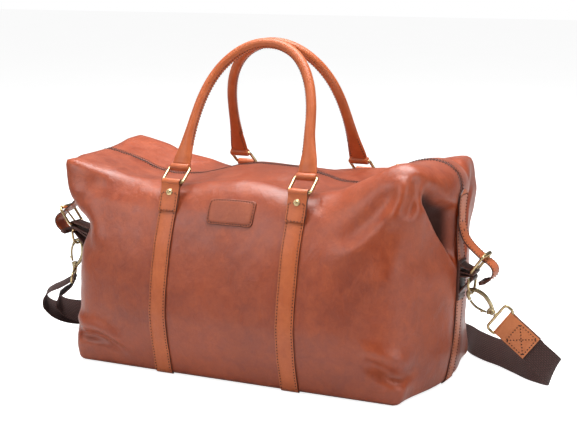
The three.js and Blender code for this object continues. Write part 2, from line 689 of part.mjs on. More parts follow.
// The hook itself stays in the plane across the D-ring, whatever way the webbing turns its loop.
function hookPoint(frame, along, across) {
  const side = new THREE.Vector3(0, 1, 0).cross(frame.way).normalize();
  return frame.at.clone().addScaledVector(frame.way, along).addScaledVector(side, across);
}

function ovalPoints(frame, from, to, steps) {
  return Array.from({ length: steps + 1 }, (_, i) => {
    const turn = from + ((to - from) * i) / steps;
    const along = -5 - HOOK_LONG / 2 + ((HOOK_LONG - 4) / 2) * Math.cos(turn);
    const narrow = 1 - 0.25 * Math.max(0, Math.cos(turn));
    return hookPoint(frame, along, (HOOK_WIDE / 2) * Math.sin(turn) * narrow);
  });
}

function turnedTo(geometry, way, at) {
  const turn = new THREE.Quaternion().setFromUnitVectors(new THREE.Vector3(0, 1, 0), way);
  return geometry.applyQuaternion(turn).translate(at.x, at.y, at.z);
}

const GATE_FROM = 0.75;
const GATE_TO = 2.1;
function hookBody(frame) {
  const bend = wire(ovalPoints(frame, GATE_TO + 0.05, 2 * Math.PI + GATE_FROM - 0.12, 18), HOOK_WIRE, 8);
  const at = frame.at.clone().addScaledVector(frame.way, -6);
  return solid(bend).add(solid(turnedTo(new THREE.CylinderGeometry(3.6, 4.2, 8, 12), frame.way, at)));
}

function hookGate(frame) {
  return solid(wire(ovalPoints(frame, GATE_FROM + 0.06, GATE_TO - 0.08, 6), HOOK_WIRE - 0.5, 8));
}

const LOOP_HALF = 21.6;
const LOOP_DEEP = 15;
const LOOP_WIRE = 1.6;
const LOOP_START = 1.5;
function webbingLoop(frame) {
  const low = frame.at.clone().addScaledVector(frame.way, LOOP_START);
  const points = rectangle(low, frame.wide, frame.way.clone().multiplyScalar(LOOP_DEEP), LOOP_HALF, 2.2);
  const post = turnedTo(new THREE.CylinderGeometry(3, 3, 3.4, 10), frame.way, frame.at);
  return solid(wire(points, LOOP_WIRE, 8, true)).add(solid(post));
}

for (const [end] of ENDS) {
  const frame = hookFrame(end);
  add(`${end}_hook_body`, geometryOf(hookBody(frame)), BRASS());
  add(`${end}_hook_gate`, geometryOf(hookGate(frame)), BRASS());
  add(`${end}_hook_loop`, geometryOf(webbingLoop(frame)), BRASS());
}

// ---- leather tab folded round the right loop, with the webbing's end inside it
const TAB_LONG = 50;
const TAB_THICK = 1.7;
function endTab() {
  const frame = hookFrame('right');
  const bar = frame.at.clone().addScaledVector(frame.way, LOOP_START + LOOP_DEEP);
  const basis = new THREE.Matrix4().makeBasis(frame.wide, frame.way, frame.wide.clone().cross(frame.way));
  const placed = (g) => solid(g.applyMatrix4(basis).translate(bar.x, bar.y, bar.z));
  const slab = (from, to, half, wide) => placed(box(-wide, wide, from, to, -half, half));
  const roll = (radius, half) => {
    const cylinder = new THREE.CylinderGeometry(radius, radius, 2 * half, 14);
    return placed(cylinder.rotateZ(Math.PI / 2));
  };
  const bore = LOOP_WIRE + 0.4;
  return slab(0, TAB_LONG, WEB_THICK / 2 + GAP + TAB_THICK, WEB_HALF)
    .add(roll(bore + TAB_THICK, WEB_HALF))
    .subtract(roll(bore, WEB_HALF + 10))
    .subtract(slab(8, TAB_LONG + 5, WEB_THICK / 2 + GAP, WEB_HALF + 5));
}
add('strap_end_tab', geometryOf(endTab()), STRAP_TAN());

// ---- slide adjuster: its centre, the way along the webbing there, and the way out from the bag
const SLIDE_AT = new THREE.Vector3(-180, 190, 22.9);
const SLIDE_ALONG = new THREE.Vector3(-0.985, -0.174, 0).normalize();
const SLIDE_OUT = new THREE.Vector3(-0.174, 0.985, 0).normalize();
const UPRIGHT = new THREE.Vector3(0, 0, 1);
const SLIDE_HALF = 21.3;
const SLIDE_WIRE = 1.5;
const SLIDE_BAR = 12;

function onSlide([along, out]) {
  return {
    at: SLIDE_AT.clone().addScaledVector(SLIDE_ALONG, along).addScaledVector(SLIDE_OUT, out),
    wide: UPRIGHT.clone(),
  };
}

function slide() {
  const low = onSlide([-SLIDE_BAR, 0]).at;
  const frame = rectangle(low, UPRIGHT, SLIDE_ALONG.clone().multiplyScalar(2 * SLIDE_BAR), SLIDE_HALF, 3);
  const bar = new THREE.CylinderGeometry(SLIDE_WIRE, SLIDE_WIRE, 2 * SLIDE_HALF, 8);
  return solid(wire(frame, SLIDE_WIRE, 8, true)).add(solid(turnedTo(bar, UPRIGHT, SLIDE_AT)));
}
add('strap_slide', geometryOf(slide()), BRASS());

// ---- shoulder strap: the middle of the webbing and the way its width points, from the right tab to the left loop
const WEB_RIGHT = [
  [[402, 0, 58], [0.613, 0.03, 0.79]],
  [[413, 4, 47], [0.56, 0.1, 0.82]],
  [[420, 13, 36], [0.46, 0.12, 0.88]],
  [[420, 25, 28], [0.36, 0.12, 0.92]],
  [[412, 37, 23], [0.25, 0.15, 0.95]],
  [[398, 48, 20.5], [0.1, 0.2, 0.97]],
  [[376, 62, 20], [0, 0.35, 0.93]],
  [[352, 82, 20], [-0.05, 0.45, 0.88]],
  [[325, 104, 20], [0, 0.5, 0.85]],
  [[296, 122, 20], [0.1, 0.45, 0.88]],
  [[268, 145, 20], [0.2, 0.3, 0.93]],
  [[243, 172, 20], [0.1, 0.15, 0.98]],
  [[200, 192, 20], [0, 0.1, 1]],
  [[130, 200, 20], [0, 0.1, 1]],
  [[40, 202, 20], [0, 0.1, 1]],
  [[-60, 202, 21], [0, 0.05, 1]],
  [[-130, 198, 22.9], [0, 0, 1]],
];
// The weave through the slide: inside its outer bars, and over its middle one.
const WEB_SLIDE = [[-20, 0], [-12, -3.1], [-6, 1.6], [0, 5.6], [6, 1.6], [12, -3.1], [20, 0]];
const WEB_LEFT = [
  [[-226, 180, 22.9], [0, 0, 1]],
  [[-268, 152, 21], [-0.1, 0.1, 1]],
  [[-300, 108, 20.5], [-0.1, 0.1, 0.98]],
  [[-325, 64, 20.5], [-0.15, 0.15, 0.96]],
  [[-348, 32, 21], [-0.25, 0.3, 0.9]],
  [[-370, 8, 24], [-0.35, 0.55, 0.75]],
  [[-386, -10, 32], [-0.4, 0.75, 0.5]],
  [[-393, -22, 45], [-0.43, 0.85, 0.25]],
  [[-387, -29, 60], [-0.45, 0.88, 0.1]],
  [[-374, -30, 72], [-0.45, 0.888, 0.05]],
  [[-357, -26.5, 80.5], [-0.45, 0.888, 0.09]],
];
// The second ply: sewn round the slide's middle bar, beside the first ply, then apart from it up to the loop.
const RETURN_SLIDE = [[3.6, -1.4], [8, -5.2], [12, -6.4], [20, -4]];
const RETURN_LEFT = [
  [[-225.2, 177.4, 22.9], [0, 0, 1]],
  [[-265.8, 149.9, 21], [-0.1, 0.1, 1]],
  [[-297.4, 106.6, 20.5], [-0.1, 0.1, 0.98]],
  [[-322.6, 62.4, 20.5], [-0.15, 0.15, 0.96]],
  [[-345, 30.6, 23], [-0.25, 0.3, 0.9]],
  [[-362, 9, 29], [-0.35, 0.55, 0.75]],
  [[-372, -6, 38], [-0.4, 0.75, 0.5]],
  [[-373, -16, 50], [-0.43, 0.85, 0.25]],
  [[-363, -21, 63], [-0.45, 0.88, 0.1]],
  [[-349, -21.5, 74], [-0.45, 0.888, 0.092]],
  [[-340.5, -19.5, 82], [-0.45, 0.888, 0.092]],
];

function stationOf([p, w]) {
  return { at: new THREE.Vector3(...p), wide: new THREE.Vector3(...w) };
}

function webbing(stations) {
  return skinned(stations.map(({ at, wide }, i) => {
    const way = stations[Math.min(i + 1, stations.length - 1)].at.clone()
      .sub(stations[Math.max(i - 1, 0)].at).normalize();
    const across = wide.clone().addScaledVector(way, -wide.dot(way)).normalize();
    const out = way.clone().cross(across);
    return [[-1, -1], [1, -1], [1, 1], [-1, 1]].map(([a, b]) => at.clone()
      .addScaledVector(across, a * WEB_HALF)
      .addScaledVector(out, (b * WEB_THICK) / 2));
  }));
}

// Round the left loop's far bar, from its outer side over to its inner side.
function wrapStations() {
  const frame = hookFrame('left');
  const bar = frame.at.clone().addScaledVector(frame.way, LOOP_START + LOOP_DEEP);
  const radius = LOOP_WIRE + 0.4 + WEB_THICK / 2;
  const side = frame.way.clone().cross(frame.wide).normalize();
  if (side.x > 0) side.negate();
  return [0, 45, 90, 135, 180].map((degrees) => {
    const turn = THREE.MathUtils.degToRad(degrees);
    const at = bar.clone()
      .addScaledVector(side, radius * Math.cos(turn))
      .addScaledVector(frame.way, -radius * Math.sin(turn));
    return { at, wide: frame.wide.clone() };
  });
}

const rightTab = hookFrame('right');
const tabStations = [28, 40, 54, 67].map((along) => ({
  at: rightTab.at.clone().addScaledVector(rightTab.way, along),
  wide: rightTab.wide.clone(),
}));
const mainStations = [
  ...tabStations,
  ...WEB_RIGHT.map(stationOf),
  ...WEB_SLIDE.map(onSlide),
  ...WEB_LEFT.map(stationOf),
  ...wrapStations(),
];
add('shoulder_webbing', webbing(mainStations), WEBBING());
const returnStations = [...RETURN_SLIDE.map(onSlide), ...RETURN_LEFT.map(stationOf)];
add('shoulder_webbing_return', webbing(returnStations), WEBBING());

export default group;
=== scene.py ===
"""Looks of the leather duffel bag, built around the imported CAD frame.

Shapes are worked out in millimetres and turned into metres when each piece is made.
"""
import json
import math
import random

import bpy
import numpy as np
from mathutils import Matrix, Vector

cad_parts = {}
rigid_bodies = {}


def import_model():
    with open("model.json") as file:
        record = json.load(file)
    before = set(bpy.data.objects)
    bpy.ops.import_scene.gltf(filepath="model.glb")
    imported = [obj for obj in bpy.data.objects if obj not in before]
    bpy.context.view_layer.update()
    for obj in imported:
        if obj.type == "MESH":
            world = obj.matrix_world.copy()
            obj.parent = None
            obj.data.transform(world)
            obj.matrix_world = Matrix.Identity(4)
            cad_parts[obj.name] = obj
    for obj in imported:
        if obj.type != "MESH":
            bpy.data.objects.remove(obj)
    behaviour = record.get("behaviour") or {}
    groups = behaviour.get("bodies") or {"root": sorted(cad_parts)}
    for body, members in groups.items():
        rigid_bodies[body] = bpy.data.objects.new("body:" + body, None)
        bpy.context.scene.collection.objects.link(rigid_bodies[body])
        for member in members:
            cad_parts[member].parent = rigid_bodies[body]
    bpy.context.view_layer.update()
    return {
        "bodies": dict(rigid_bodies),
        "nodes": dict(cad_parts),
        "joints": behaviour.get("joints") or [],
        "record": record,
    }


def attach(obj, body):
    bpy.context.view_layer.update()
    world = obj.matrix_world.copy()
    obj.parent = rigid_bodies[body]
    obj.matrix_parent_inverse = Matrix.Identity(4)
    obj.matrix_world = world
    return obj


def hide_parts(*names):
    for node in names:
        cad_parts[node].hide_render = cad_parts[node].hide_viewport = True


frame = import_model()
random.seed(7)
MM = 0.001
X_AXIS, Y_AXIS = np.array([1.0, 0, 0]), np.array([0, 1.0, 0])

# ---------------------------------------------------------------- camera
camera_data = bpy.data.cameras.new("camera")
camera_data.lens = 85.9
camera_data.sensor_width = 36
camera = bpy.data.objects.new("camera", camera_data)
bpy.context.scene.collection.objects.link(camera)
camera.location = (0.9061, -1.7594, 0.5801)
aim = Vector((0.0278, 0, 0.2154)) - camera.location
camera.rotation_euler = aim.to_track_quat("-Z", "Y").to_euler()
bpy.context.scene.camera = camera


# ---------------------------------------------------------------- small helpers
def unit(v):
    v = np.asarray(v, float)
    return v / np.maximum(np.linalg.norm(v, axis=-1, keepdims=True), 1e-9)


def smoothstep(v, low, high):
    t = np.clip((np.asarray(v, float) - low) / (high - low), 0, 1)
    return t * t * (3 - 2 * t)


def curve_through(points, per=6):
    """Catmull-Rom through rows of numbers, `per` steps to each stretch."""
    p = np.asarray(points, float)
    p = np.vstack([2 * p[0] - p[1], p, 2 * p[-1] - p[-2]])
    out = []
    for i in range(1, len(p) - 2):
        for t in np.arange(per) / per:
            a = 2 * p[i]
            b = p[i + 1] - p[i - 1]
            c = 2 * p[i - 1] - 5 * p[i] + 4 * p[i + 1] - p[i + 2]
            d = 3 * (p[i] - p[i + 1]) + p[i + 2] - p[i - 1]
            out.append((a + b * t + c * t * t + d * t ** 3) / 2)
    out.append(p[-2])
    return np.array(out)


def lengths(line):
    """How far along a line each of its points is."""
    steps = np.diff(np.asarray(line, float)[:, :3], axis=0)
    return np.concatenate([[0], np.cumsum(np.linalg.norm(steps, axis=1))])


def evenly(points, step):
    """The same line with its points a fixed step apart."""
    p = np.asarray(points, float)
    far = lengths(p)
    at = np.linspace(0, far[-1], max(2, int(round(far[-1] / step)) + 1))
    return np.stack([np.interp(at, far, p[:, k]) for k in range(p.shape[1])], axis=1)


def soft_table(xs, ys, width):
    """A table read off with its corners rounded over about `width`."""
    grid = np.linspace(xs[0] - 3 * width, xs[-1] + 3 * width, 900)
    step = grid[1] - grid[0]
    reach = int(3 * width / step)
    kernel = np.exp(-0.5 * (np.arange(-reach, reach + 1) * step / width) ** 2)
    padded = np.pad(np.interp(grid, xs, ys), reach, mode="edge")
    soft = np.convolve(padded, kernel / kernel.sum(), mode="valid")
    return lambda v: np.interp(v, grid, soft)


def add_uvs(mesh, name, uvs):
    """A layer of texture places, given for each point."""
    loops = np.zeros(len(mesh.loops), np.int32)
    mesh.loops.foreach_get("vertex_index", loops)
    layer = mesh.uv_layers.new(name=name)
    layer.data.foreach_set("uv", np.asarray(uvs, np.float32)[loops].ravel())


def made(name, verts, faces, look, node=None, body="bag", uvs=None, marks=None):
    """A mesh piece in metres, riding on its body, in a look from LOOKS. marks gives each face its material."""
    materials, slot = LOOKS[look]
    mesh = bpy.data.meshes.new(name)
    mesh.from_pydata((np.asarray(verts, float) * MM).tolist(), [], [list(map(int, f)) for f in faces])
    for m in materials:
        mesh.materials.append(m)
    if marks is not None:
        mesh.polygons.foreach_set("material_index", np.asarray(marks, np.int32))
    if uvs is not None:
        add_uvs(mesh, "along", uvs)
    mesh.polygons.foreach_set("use_smooth", np.ones(len(mesh.polygons), bool))
    mesh.validate()
    mesh.update()
    piece = bpy.data.objects.new(name, mesh)
    bpy.context.scene.collection.objects.link(piece)
    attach(piece, body)
    if node:
        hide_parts(node)
    return piece


def skin(sections, closed_line=False, caps=True):
    """Faces over rings of equal length. Rings run round the piece, one after another along it."""
    n = len(sections)
    k = len(sections[0])
    faces = []
    for i in range(n if closed_line else n - 1):
        j = (i + 1) % n
        for a in range(k):
            b = (a + 1) % k
            faces.append((i * k + a, i * k + b, j * k + b, j * k + a))
    if caps and not closed_line:
        faces.append(tuple(range(k))[::-1])
        faces.append(tuple((n - 1) * k + a for a in range(k)))
    return np.concatenate(sections), faces


class Heap:
    """Several closed bodies gathered into one mesh."""

    def __init__(self):
        self.verts, self.faces, self.marks, self.uvs = [], [], [], []
        self.count = 0

    def add(self, verts, faces, mark=0, uvs=None):
        verts = np.asarray(verts, float)
        self.faces += [tuple(i + self.count for i in f) for f in faces]
        self.marks += list(mark) if hasattr(mark, "__len__") else [mark] * len(faces)
        self.uvs.append(np.zeros((len(verts), 2)) if uvs is None else np.asarray(uvs, float))
        self.verts.append(verts)
        self.count += len(verts)
        return self

    def make(self, name, look, node=None, body="bag"):
        verts, uvs = np.concatenate(self.verts), np.concatenate(self.uvs)
        return made(name, verts, self.faces, look, node, body, uvs, self.marks)


def frames_along(line, closed=False):
    """Tangent, side and up at each point of a line, turned as little as possible."""
    p = np.asarray(line, float)
    if closed:
        way = unit(np.roll(p, -1, axis=0) - np.roll(p, 1, axis=0))
    else:
        way = unit(np.gradient(p, axis=0))
    side = np.cross(way[0], [0, 0, 1.0])
    if np.linalg.norm(side) < 0.2:
        side = np.cross(way[0], [0, 1.0, 0])
    sides = []
    for t in way:
        side = unit(side - t * np.dot(side, t))
        sides.append(side)
    sides = np.array(sides)
    return way, sides, np.cross(way, sides)


def tube(line, radius, around=14, closed=False):
    """A round wire along a line. radius may change along it."""
    p = np.asarray(line, float)
    _, side, up = frames_along(p, closed)
    r = np.broadcast_to(np.asarray(radius, float), (len(p),))
    turn = 2 * np.pi * np.arange(around) / around
    cos, sin = np.cos(turn)[:, None], np.sin(turn)[:, None]
    return skin([p[i] + r[i] * (cos * side[i] + sin * up[i]) for i in range(len(p))], closed_line=closed)


def rounded_loop(corners, radius, steps=5):
    """A closed line through corners, each turned over a radius."""
    c = np.asarray(corners, float)
    out = []
    for i, at in enumerate(c):
        back = unit(c[i - 1] - at)
        on = unit(c[(i + 1) % len(c)] - at)
        half = math.acos(float(np.clip(np.dot(back, on), -1, 1))) / 2
        reach = radius / math.tan(half)
        a, b = at + back * reach, at + on * reach
        middle = at + unit(back + on) * radius / math.sin(half)
        for t in np.linspace(0, 1, steps + 1):
            out.append(middle + radius * unit((1 - t) * (a - middle) + t * (b - middle)))
    return np.array(out)


def turned_profile(at, way, profile, around=24):
    """A body of revolution about `way`: profile rows are radius and height."""
    way = unit(way)
    side = unit(np.cross(way, [0.3, 0.2, 0.93]))
    up = np.cross(way, side)
    turn = 2 * np.pi * np.arange(around) / around
    ring = np.cos(turn)[:, None] * side + np.sin(turn)[:, None] * up
    return skin([np.asarray(at) + way * h + ring * max(r, 0.01) for r, h in profile])


def roll(at, radius, half, axis=(1, 0, 0), edge=1.0, around=20):
    """Leather rolled round a bar: a short cylinder with softened ends."""
    profile = [(radius - edge, -half), (radius - 0.25 * edge, -half + 0.25 * edge), (radius, -half + edge)]
    profile += [(r, -h) for r, h in profile[::-1]]
    return turned_profile(at, axis, profile, around)


def rounded_section(half, thick, edge, steps=3):
    """A rectangle with rounded corners, such as a flat strip's section. Rows are across and out."""
    across, out = half - edge, thick / 2 - edge
    points = []
    for sx, sy, start in ((1, 1, 0), (-1, 1, 90), (-1, -1, 180), (1, -1, 270)):
        for k in range(steps + 1):
            turn = math.radians(start + 90 * k / steps)
            points.append((sx * across + edge * math.cos(turn), sy * out + edge * math.sin(turn)))
    return np.array(points)


def strip(line, across, half, thick, edge=0.5):
    """A flat strip along a line. across is the way its width points, everywhere or at each place."""
    p = np.asarray(line, float)
    across = np.broadcast_to(np.asarray(across, float), p.shape)
    way = unit(np.gradient(p, axis=0))
    wide = unit(across - way * np.sum(across * way, axis=1, keepdims=True))
    face = np.cross(way, wide)
    h = np.broadcast_to(np.asarray(half, float), (len(p),))
    sections = []
    for i in range(len(p)):
        profile = rounded_section(h[i], thick, edge)
        sections.append(p[i] + profile[:, :1] * wide[i] + profile[:, 1:] * face[i])
    verts, faces = skin(sections)
    spans = rounded_section(h[0], thick, edge)[:, 0]
    k = len(spans)
    uvs = np.stack([np.repeat(lengths(p), k), np.tile(spans, len(p))], axis=1) * MM
    spans = np.abs(spans)
    on_edge = [int(min(spans[a], spans[(a + 1) % k]) > h[0] - edge * 0.95) for a in range(k)]
    return verts, faces, on_edge * (len(p) - 1) + [1, 1], uvs


# Stitches' pitch, length and radius.
STITCH, WIDE_STITCH = (4.3, 2.0, 0.78), (4.4, 2.0, 0.8)
SEAM_STITCH, ZIP_STITCH = (4.3, 2.1, 0.75), (4.4, 2.1, 0.8)
# The four places across a stitch: share of its length, size, and rise. Both ends sink into the leather.
STITCH_SECTIONS = ((-0.5, 0.35, -0.25), (-0.28, 1, 0.12), (0.28, 1, 0.12), (0.5, 0.35, -0.25))


def stitches(heap, line, normals, size=STITCH, lift=0.1):
    """A row of thread stitches along a line lying on a surface. One way out may serve for all of it."""
    pitch, length, radius = size
    line = np.asarray(line, float)
    normals = np.broadcast_to(np.asarray(normals, float), line.shape)
    both = evenly(np.hstack([line, normals]), pitch)
    places = both[:, :3]
    way = unit(np.gradient(places, axis=0))
    turn = np.pi / 3 * np.arange(6)
    cos, sin = np.cos(turn)[:, None], np.sin(turn)[:, None]
    for at, normal, t in zip(places[:-1] + np.diff(places, axis=0) / 2, both[:-1, 3:], way[:-1]):
        n = unit(normal)
        ring = cos * np.cross(t, n) + sin * n
        rings = []
        for share, full, rise in STITCH_SECTIONS:
            middle = at + t * length * share + n * (lift + rise * radius * 2)
            rings.append(middle + radius * full * ring)
        heap.add(*skin(rings))


def two_rows(heap, line, wide, out, apart, lift, size=STITCH):
    """A row of stitches down each edge of a strap."""
    for side in (-1, 1):
        stitches(heap, line + np.asarray(wide) * side * apart + out * lift, out, size)


def outwards(line, across, out):
    """The ways square to a line and to its width, on the side of out."""
    normal = np.cross(unit(np.gradient(line, axis=0)), across)
    return normal * np.sign(np.sum(normal * out, axis=1, keepdims=True))


# ---------------------------------------------------------------- materials
class Shader:
    """A node material, built with short calls."""

    def __init__(self, name):
        self.material = bpy.data.materials.new(name)
        self.material.use_nodes = True
        self.tree = self.material.node_tree
        self.surface = self.tree.nodes["Principled BSDF"]
        self.place = self.node("ShaderNodeTexCoord").outputs["Object"]

    def feed(self, socket, value):
        if isinstance(value, bpy.types.NodeSocket):
            self.tree.links.new(value, socket)
        else:
            socket.default_value = value

    def node(self, kind, sockets=None, **settings):
        n = self.tree.nodes.new(kind)
        for key, value in settings.items():
            setattr(n, key, value)
        for key, value in (sockets or {}).items():
            self.feed(n.inputs[key], value)
        return n

    def noise(self, scale, detail=3.0, rough=0.55, stretch=None, distort=0.0):
        place = self.place
        if stretch:
            place = self.node("ShaderNodeMapping", {"Vector": place, "Scale": stretch}).outputs[0]
        sockets = {"Vector": place, "Scale": scale, "Detail": detail, "Roughness": rough, "Distortion": distort}
        return self.node("ShaderNodeTexNoise", sockets).outputs["Fac"]

    def cells(self, scale):
        sockets = {"Vector": self.place, "Scale": scale}
        return self.node("ShaderNodeTexVoronoi", sockets, feature="DISTANCE_TO_EDGE").outputs["Distance"]

    def spread(self, value, low, high, to_low=0.0, to_high=1.0):
        sockets = {"Value": value, "From Min": low, "From Max": high, "To Min": to_low, "To Max": to_high}
        return self.node("ShaderNodeMapRange", sockets, clamp=True).outputs["Result"]

    def math(self, operation, a, b=0.0):
        return self.node("ShaderNodeMath", {0: a, 1: b}, operation=operation).outputs[0]

    def mix(self, share, a, b):
        sockets = {"Factor": share, "A": a, "B": b}
        return self.node("ShaderNodeMix", sockets, data_type="RGBA").outputs["Result"]

    def bump(self, height, strength, distance, under=None):
        sockets = {"Strength": strength, "Distance": distance, "Height": height}
        if under is not None:
            sockets["Normal"] = under
        return self.node("ShaderNodeBump", sockets).outputs["Normal"]

    def apart(self, layer):
        """The two places of a texture layer, as X and Y."""
        place = self.node("ShaderNodeUVMap", uv_map=layer).outputs[0]
        return self.node("ShaderNodeSeparateXYZ", {0: place}).outputs

    def set(self, **sockets):
        for key, value in sockets.items():
            self.feed(self.surface.inputs[key.replace("_", " ")], value)
        return self.material


def colour(red, green, blue):
    """A colour as seen on a screen, 0 to 255, in the renderer's own scale."""
    return tuple(((c / 255 + 0.055) / 1.055) ** 2.4 for c in (red, green, blue)) + (1.0,)


def leather(name, base, dark, light, rough, coat, hollows=None):
    """Waxed leather, clouded, freckled and finely creased. The colour given for its hollows is painted shade,
    laid deep in a fold where shadow falls.
    """
    s = Shader(name)
    cloud = s.spread(s.noise(9, 4, 0.6), 0.34, 0.68)
    blotch = s.spread(s.noise(46, 5, 0.62, distort=0.6), 0.36, 0.7)
    fine = s.spread(s.noise(330, 4, 0.6), 0.3, 0.72)
    freckle = s.spread(s.noise(120, 5, 0.7, distort=0.4), 0.46, 0.72)
    tone = s.mix(s.math("MULTIPLY", cloud, 0.6), base, dark)
    tone = s.mix(s.math("MULTIPLY", blotch, 0.4), tone, light)
    tone = s.mix(s.math("MULTIPLY", freckle, 0.32), tone, dark)
    tone = s.mix(s.math("MULTIPLY", fine, 0.2), tone, dark)
    # Painted shade: deep in a hollow the colour turns to the dark hollow colour, the coat is taken off there
    # and the leather made rougher.
    if hollows:
        deep = s.apart("hollows")["X"]
        tone = s.mix(deep, tone, hollows)
    pores = s.spread(s.cells(620), 0.0, 0.16)
    wrinkles = s.noise(150, 5, 0.62, stretch=(1, 1, 0.55), distort=0.8)
    dents = s.noise(38, 4, 0.6, stretch=(1, 1, 0.7), distort=1.2)
    soft = s.bump(dents, 0.3, 0.004)
    under = s.bump(wrinkles, 0.35, 0.0014, soft)
    bumps = s.bump(pores, 0.16, 0.0005, under)
    worn = s.spread(blotch, 0, 1, rough - 0.06, rough + 0.12)
    gloss = s.math("ADD", worn, s.math("MULTIPLY", fine, 0.05))
    if hollows:
        gloss = s.math("ADD", gloss, s.math("MULTIPLY", deep, 0.45))
        coat = s.math("MULTIPLY", s.math("SUBTRACT", 1.0, deep), coat)
    return s.set(
        Base_Color=tone, Roughness=gloss, Normal=bumps, Coat_Weight=coat,
        Coat_Roughness=0.36, Specular_IOR_Level=0.44, Sheen_Weight=0.14, Sheen_Roughness=0.4,
    )


def edge_paint(name, base, light):
    s = Shader(name)
    worn = s.spread(s.noise(260, 4, 0.65), 0.45, 0.75)
    return s.set(
        Base_Color=s.mix(s.math("MULTIPLY", worn, 0.5), base, light),
        Roughness=s.spread(worn, 0, 1, 0.42, 0.6),
        Normal=s.bump(s.noise(700, 3), 0.3, 0.0004),
    )


def thread(name, base, light):
    s = Shader(name)
    sockets = {"Vector": s.place, "Scale": 900}
    twist = s.node("ShaderNodeTexWave", sockets, wave_type="BANDS", bands_direction="DIAGONAL")
    return s.set(
        Base_Color=s.mix(s.spread(s.noise(240), 0.35, 0.7), base, light),
        Roughness=0.7,
        Normal=s.bump(twist.outputs["Fac"], 0.35, 0.0003),
    )


def metal(name, base, dark, rough=0.26):
    s = Shader(name)
    tarnish = s.spread(s.noise(120, 5, 0.65), 0.42, 0.72)
    scratch = s.noise(900, 2, 0.5, stretch=(1, 0.12, 1))
    return s.set(
        Base_Color=s.mix(s.math("MULTIPLY", tarnish, 0.75), base, dark),
        Metallic=1.0,
        Roughness=s.spread(tarnish, 0, 1, rough, rough + 0.2),
        Normal=s.bump(scratch, 0.08, 0.0003),
    )


def cloth(name, base, light, threads=900.0, ribs=None):
    """Woven cloth. ribs: threads to a metre across and along, laid by the piece's own length."""
    s = Shader(name)
    if ribs:
        along = s.apart("along")
        turns = [s.math("MULTIPLY", along[axis], count * 2 * math.pi) for axis, count in zip("XY", ribs)]
        across, down = (s.math("SINE", turn) for turn in turns)
        weave = s.math("MULTIPLY", across, down)
        cords = s.math("MULTIPLY", s.math("ABSOLUTE", down), 0.75)
        height = s.math("ADD", s.math("MULTIPLY", weave, 0.25), cords)
    else:
        height = s.cells(threads)
    # Painted highlight and shade of the weave: the colour is lighter where the threads stand high and darker
    # between them.
    tone = s.mix(s.spread(height, 0.1, 1.0, 0, 0.8), base, light)
    tone = s.mix(s.spread(s.noise(1500, 3), 0.4, 0.8, 0, 0.35), tone, light)
    bumps = s.bump(height, 0.7, 0.0008)
    return s.set(Base_Color=tone, Roughness=0.82, Normal=bumps, Sheen_Weight=0.08, Sheen_Roughness=0.5)


BAG_COLOURS = colour(156, 64, 24), colour(108, 38, 16), colour(182, 86, 40)
body_leather = leather("body_leather", *BAG_COLOURS, 0.4, 0.34)
# Its hollow colour is painted shade for the drawn-in end walls.
shell_leather = leather("shell_leather", *BAG_COLOURS, 0.4, 0.34, hollows=colour(62, 26, 16))
strap_leather = leather(
    "strap_leather", colour(186, 92, 40), colour(154, 68, 28), colour(204, 112, 60), 0.42, 0.16,
)
tab_leather = leather("tab_leather", colour(206, 122, 70), colour(176, 96, 52), colour(218, 138, 90), 0.5, 0.08)
label_leather = leather(
    "label_leather", colour(156, 76, 44), colour(126, 56, 32), colour(174, 94, 60), 0.45, 0.1,
)
dark_leather = leather("dark_leather", colour(86, 44, 32), colour(50, 26, 20), colour(110, 62, 46), 0.45, 0.1)
inside_leather = leather(
    "inside_leather", colour(74, 32, 18), colour(44, 18, 10), colour(100, 52, 34), 0.75, 0.0,
)
painted_edge = edge_paint("painted_edge", colour(72, 34, 24), colour(112, 60, 40))
# The thread's colour is its own dark brown, darkened further as painted shade of the stitch holes.
dark_thread_and_hole_shade = thread("dark_thread_and_hole_shade", colour(44, 20, 13), colour(70, 36, 26))
antique_brass = metal("antique_brass", colour(204, 182, 138), colour(128, 104, 66), 0.24)
dark_metal = metal("dark_metal", colour(110, 96, 78), colour(60, 50, 42), 0.34)
old_brass = metal("old_brass", colour(190, 172, 134), colour(104, 88, 62), 0.28)
# The webbing's dark and light colours are spread by its weave's height: painted shade in the gaps, painted
# highlight on the cords.
webbing_cloth = cloth("webbing_cloth", colour(24, 10, 9), colour(92, 56, 50), ribs=(210, 200))
tape_cloth = cloth("tape_cloth", colour(46, 28, 22), colour(74, 48, 38))
lining_cloth = cloth("lining_cloth", colour(120, 96, 70), colour(150, 124, 94), 700)
board_face = cloth("board_face", colour(38, 34, 32), colour(60, 56, 52), 500)

# For each look: its materials, and a slot name.
LOOKS = {
    "shell": ([shell_leather, inside_leather, painted_edge], "body_leather"),
    "base": ([body_leather], "body_leather"),
    "lining": ([lining_cloth], "lining"),
    "strap": ([strap_leather, painted_edge], "strap_leather"),
    "tab": ([tab_leather, painted_edge], "strap_leather"),
    "label": ([label_leather, painted_edge], "strap_leather"),
    "anchor": ([dark_leather, painted_edge], "dark_leather"),
    "keeper": ([dark_leather], "dark_leather"),
    "holes": ([painted_edge], "dark_leather"),
    "thread": ([dark_thread_and_hole_shade], "strap_leather"),
    "tab_thread": ([dark_thread_and_hole_shade], "webbing"),
    "zip_thread": ([dark_thread_and_hole_shade], "body_leather"),
    "anchor_thread": ([dark_thread_and_hole_shade], "dark_leather"),
    "brass": ([antique_brass], "brass"),
    "old_brass": ([old_brass], "brass"),
    "teeth": ([dark_metal], "brass"),
    "webbing": ([webbing_cloth], "webbing"),
    "tape": ([tape_cloth], "zip_tape"),
}


# ---------------------------------------------------------------- shoulder strap, from part.mjs, in millimetres
def hook_place(end):
    """Where a hook turns on its loop, its way out along the strap, and the way of the loop's width."""
    way = unit({"right": (0.79, 0, -0.613), "left": (-0.2, 0, -0.98)}[end])
    wide = np.array({"right": (0.613, 0, 0.79), "left": (-0.45, 0.888, 0.092)}[end])
    wide = unit(wide - way * np.dot(wide, way))
    bar = {"right": (309, 0, 131.5), "left": (-329, -20, 147.5)}[end]
    return np.array(bar) + 44 * way, way, wide


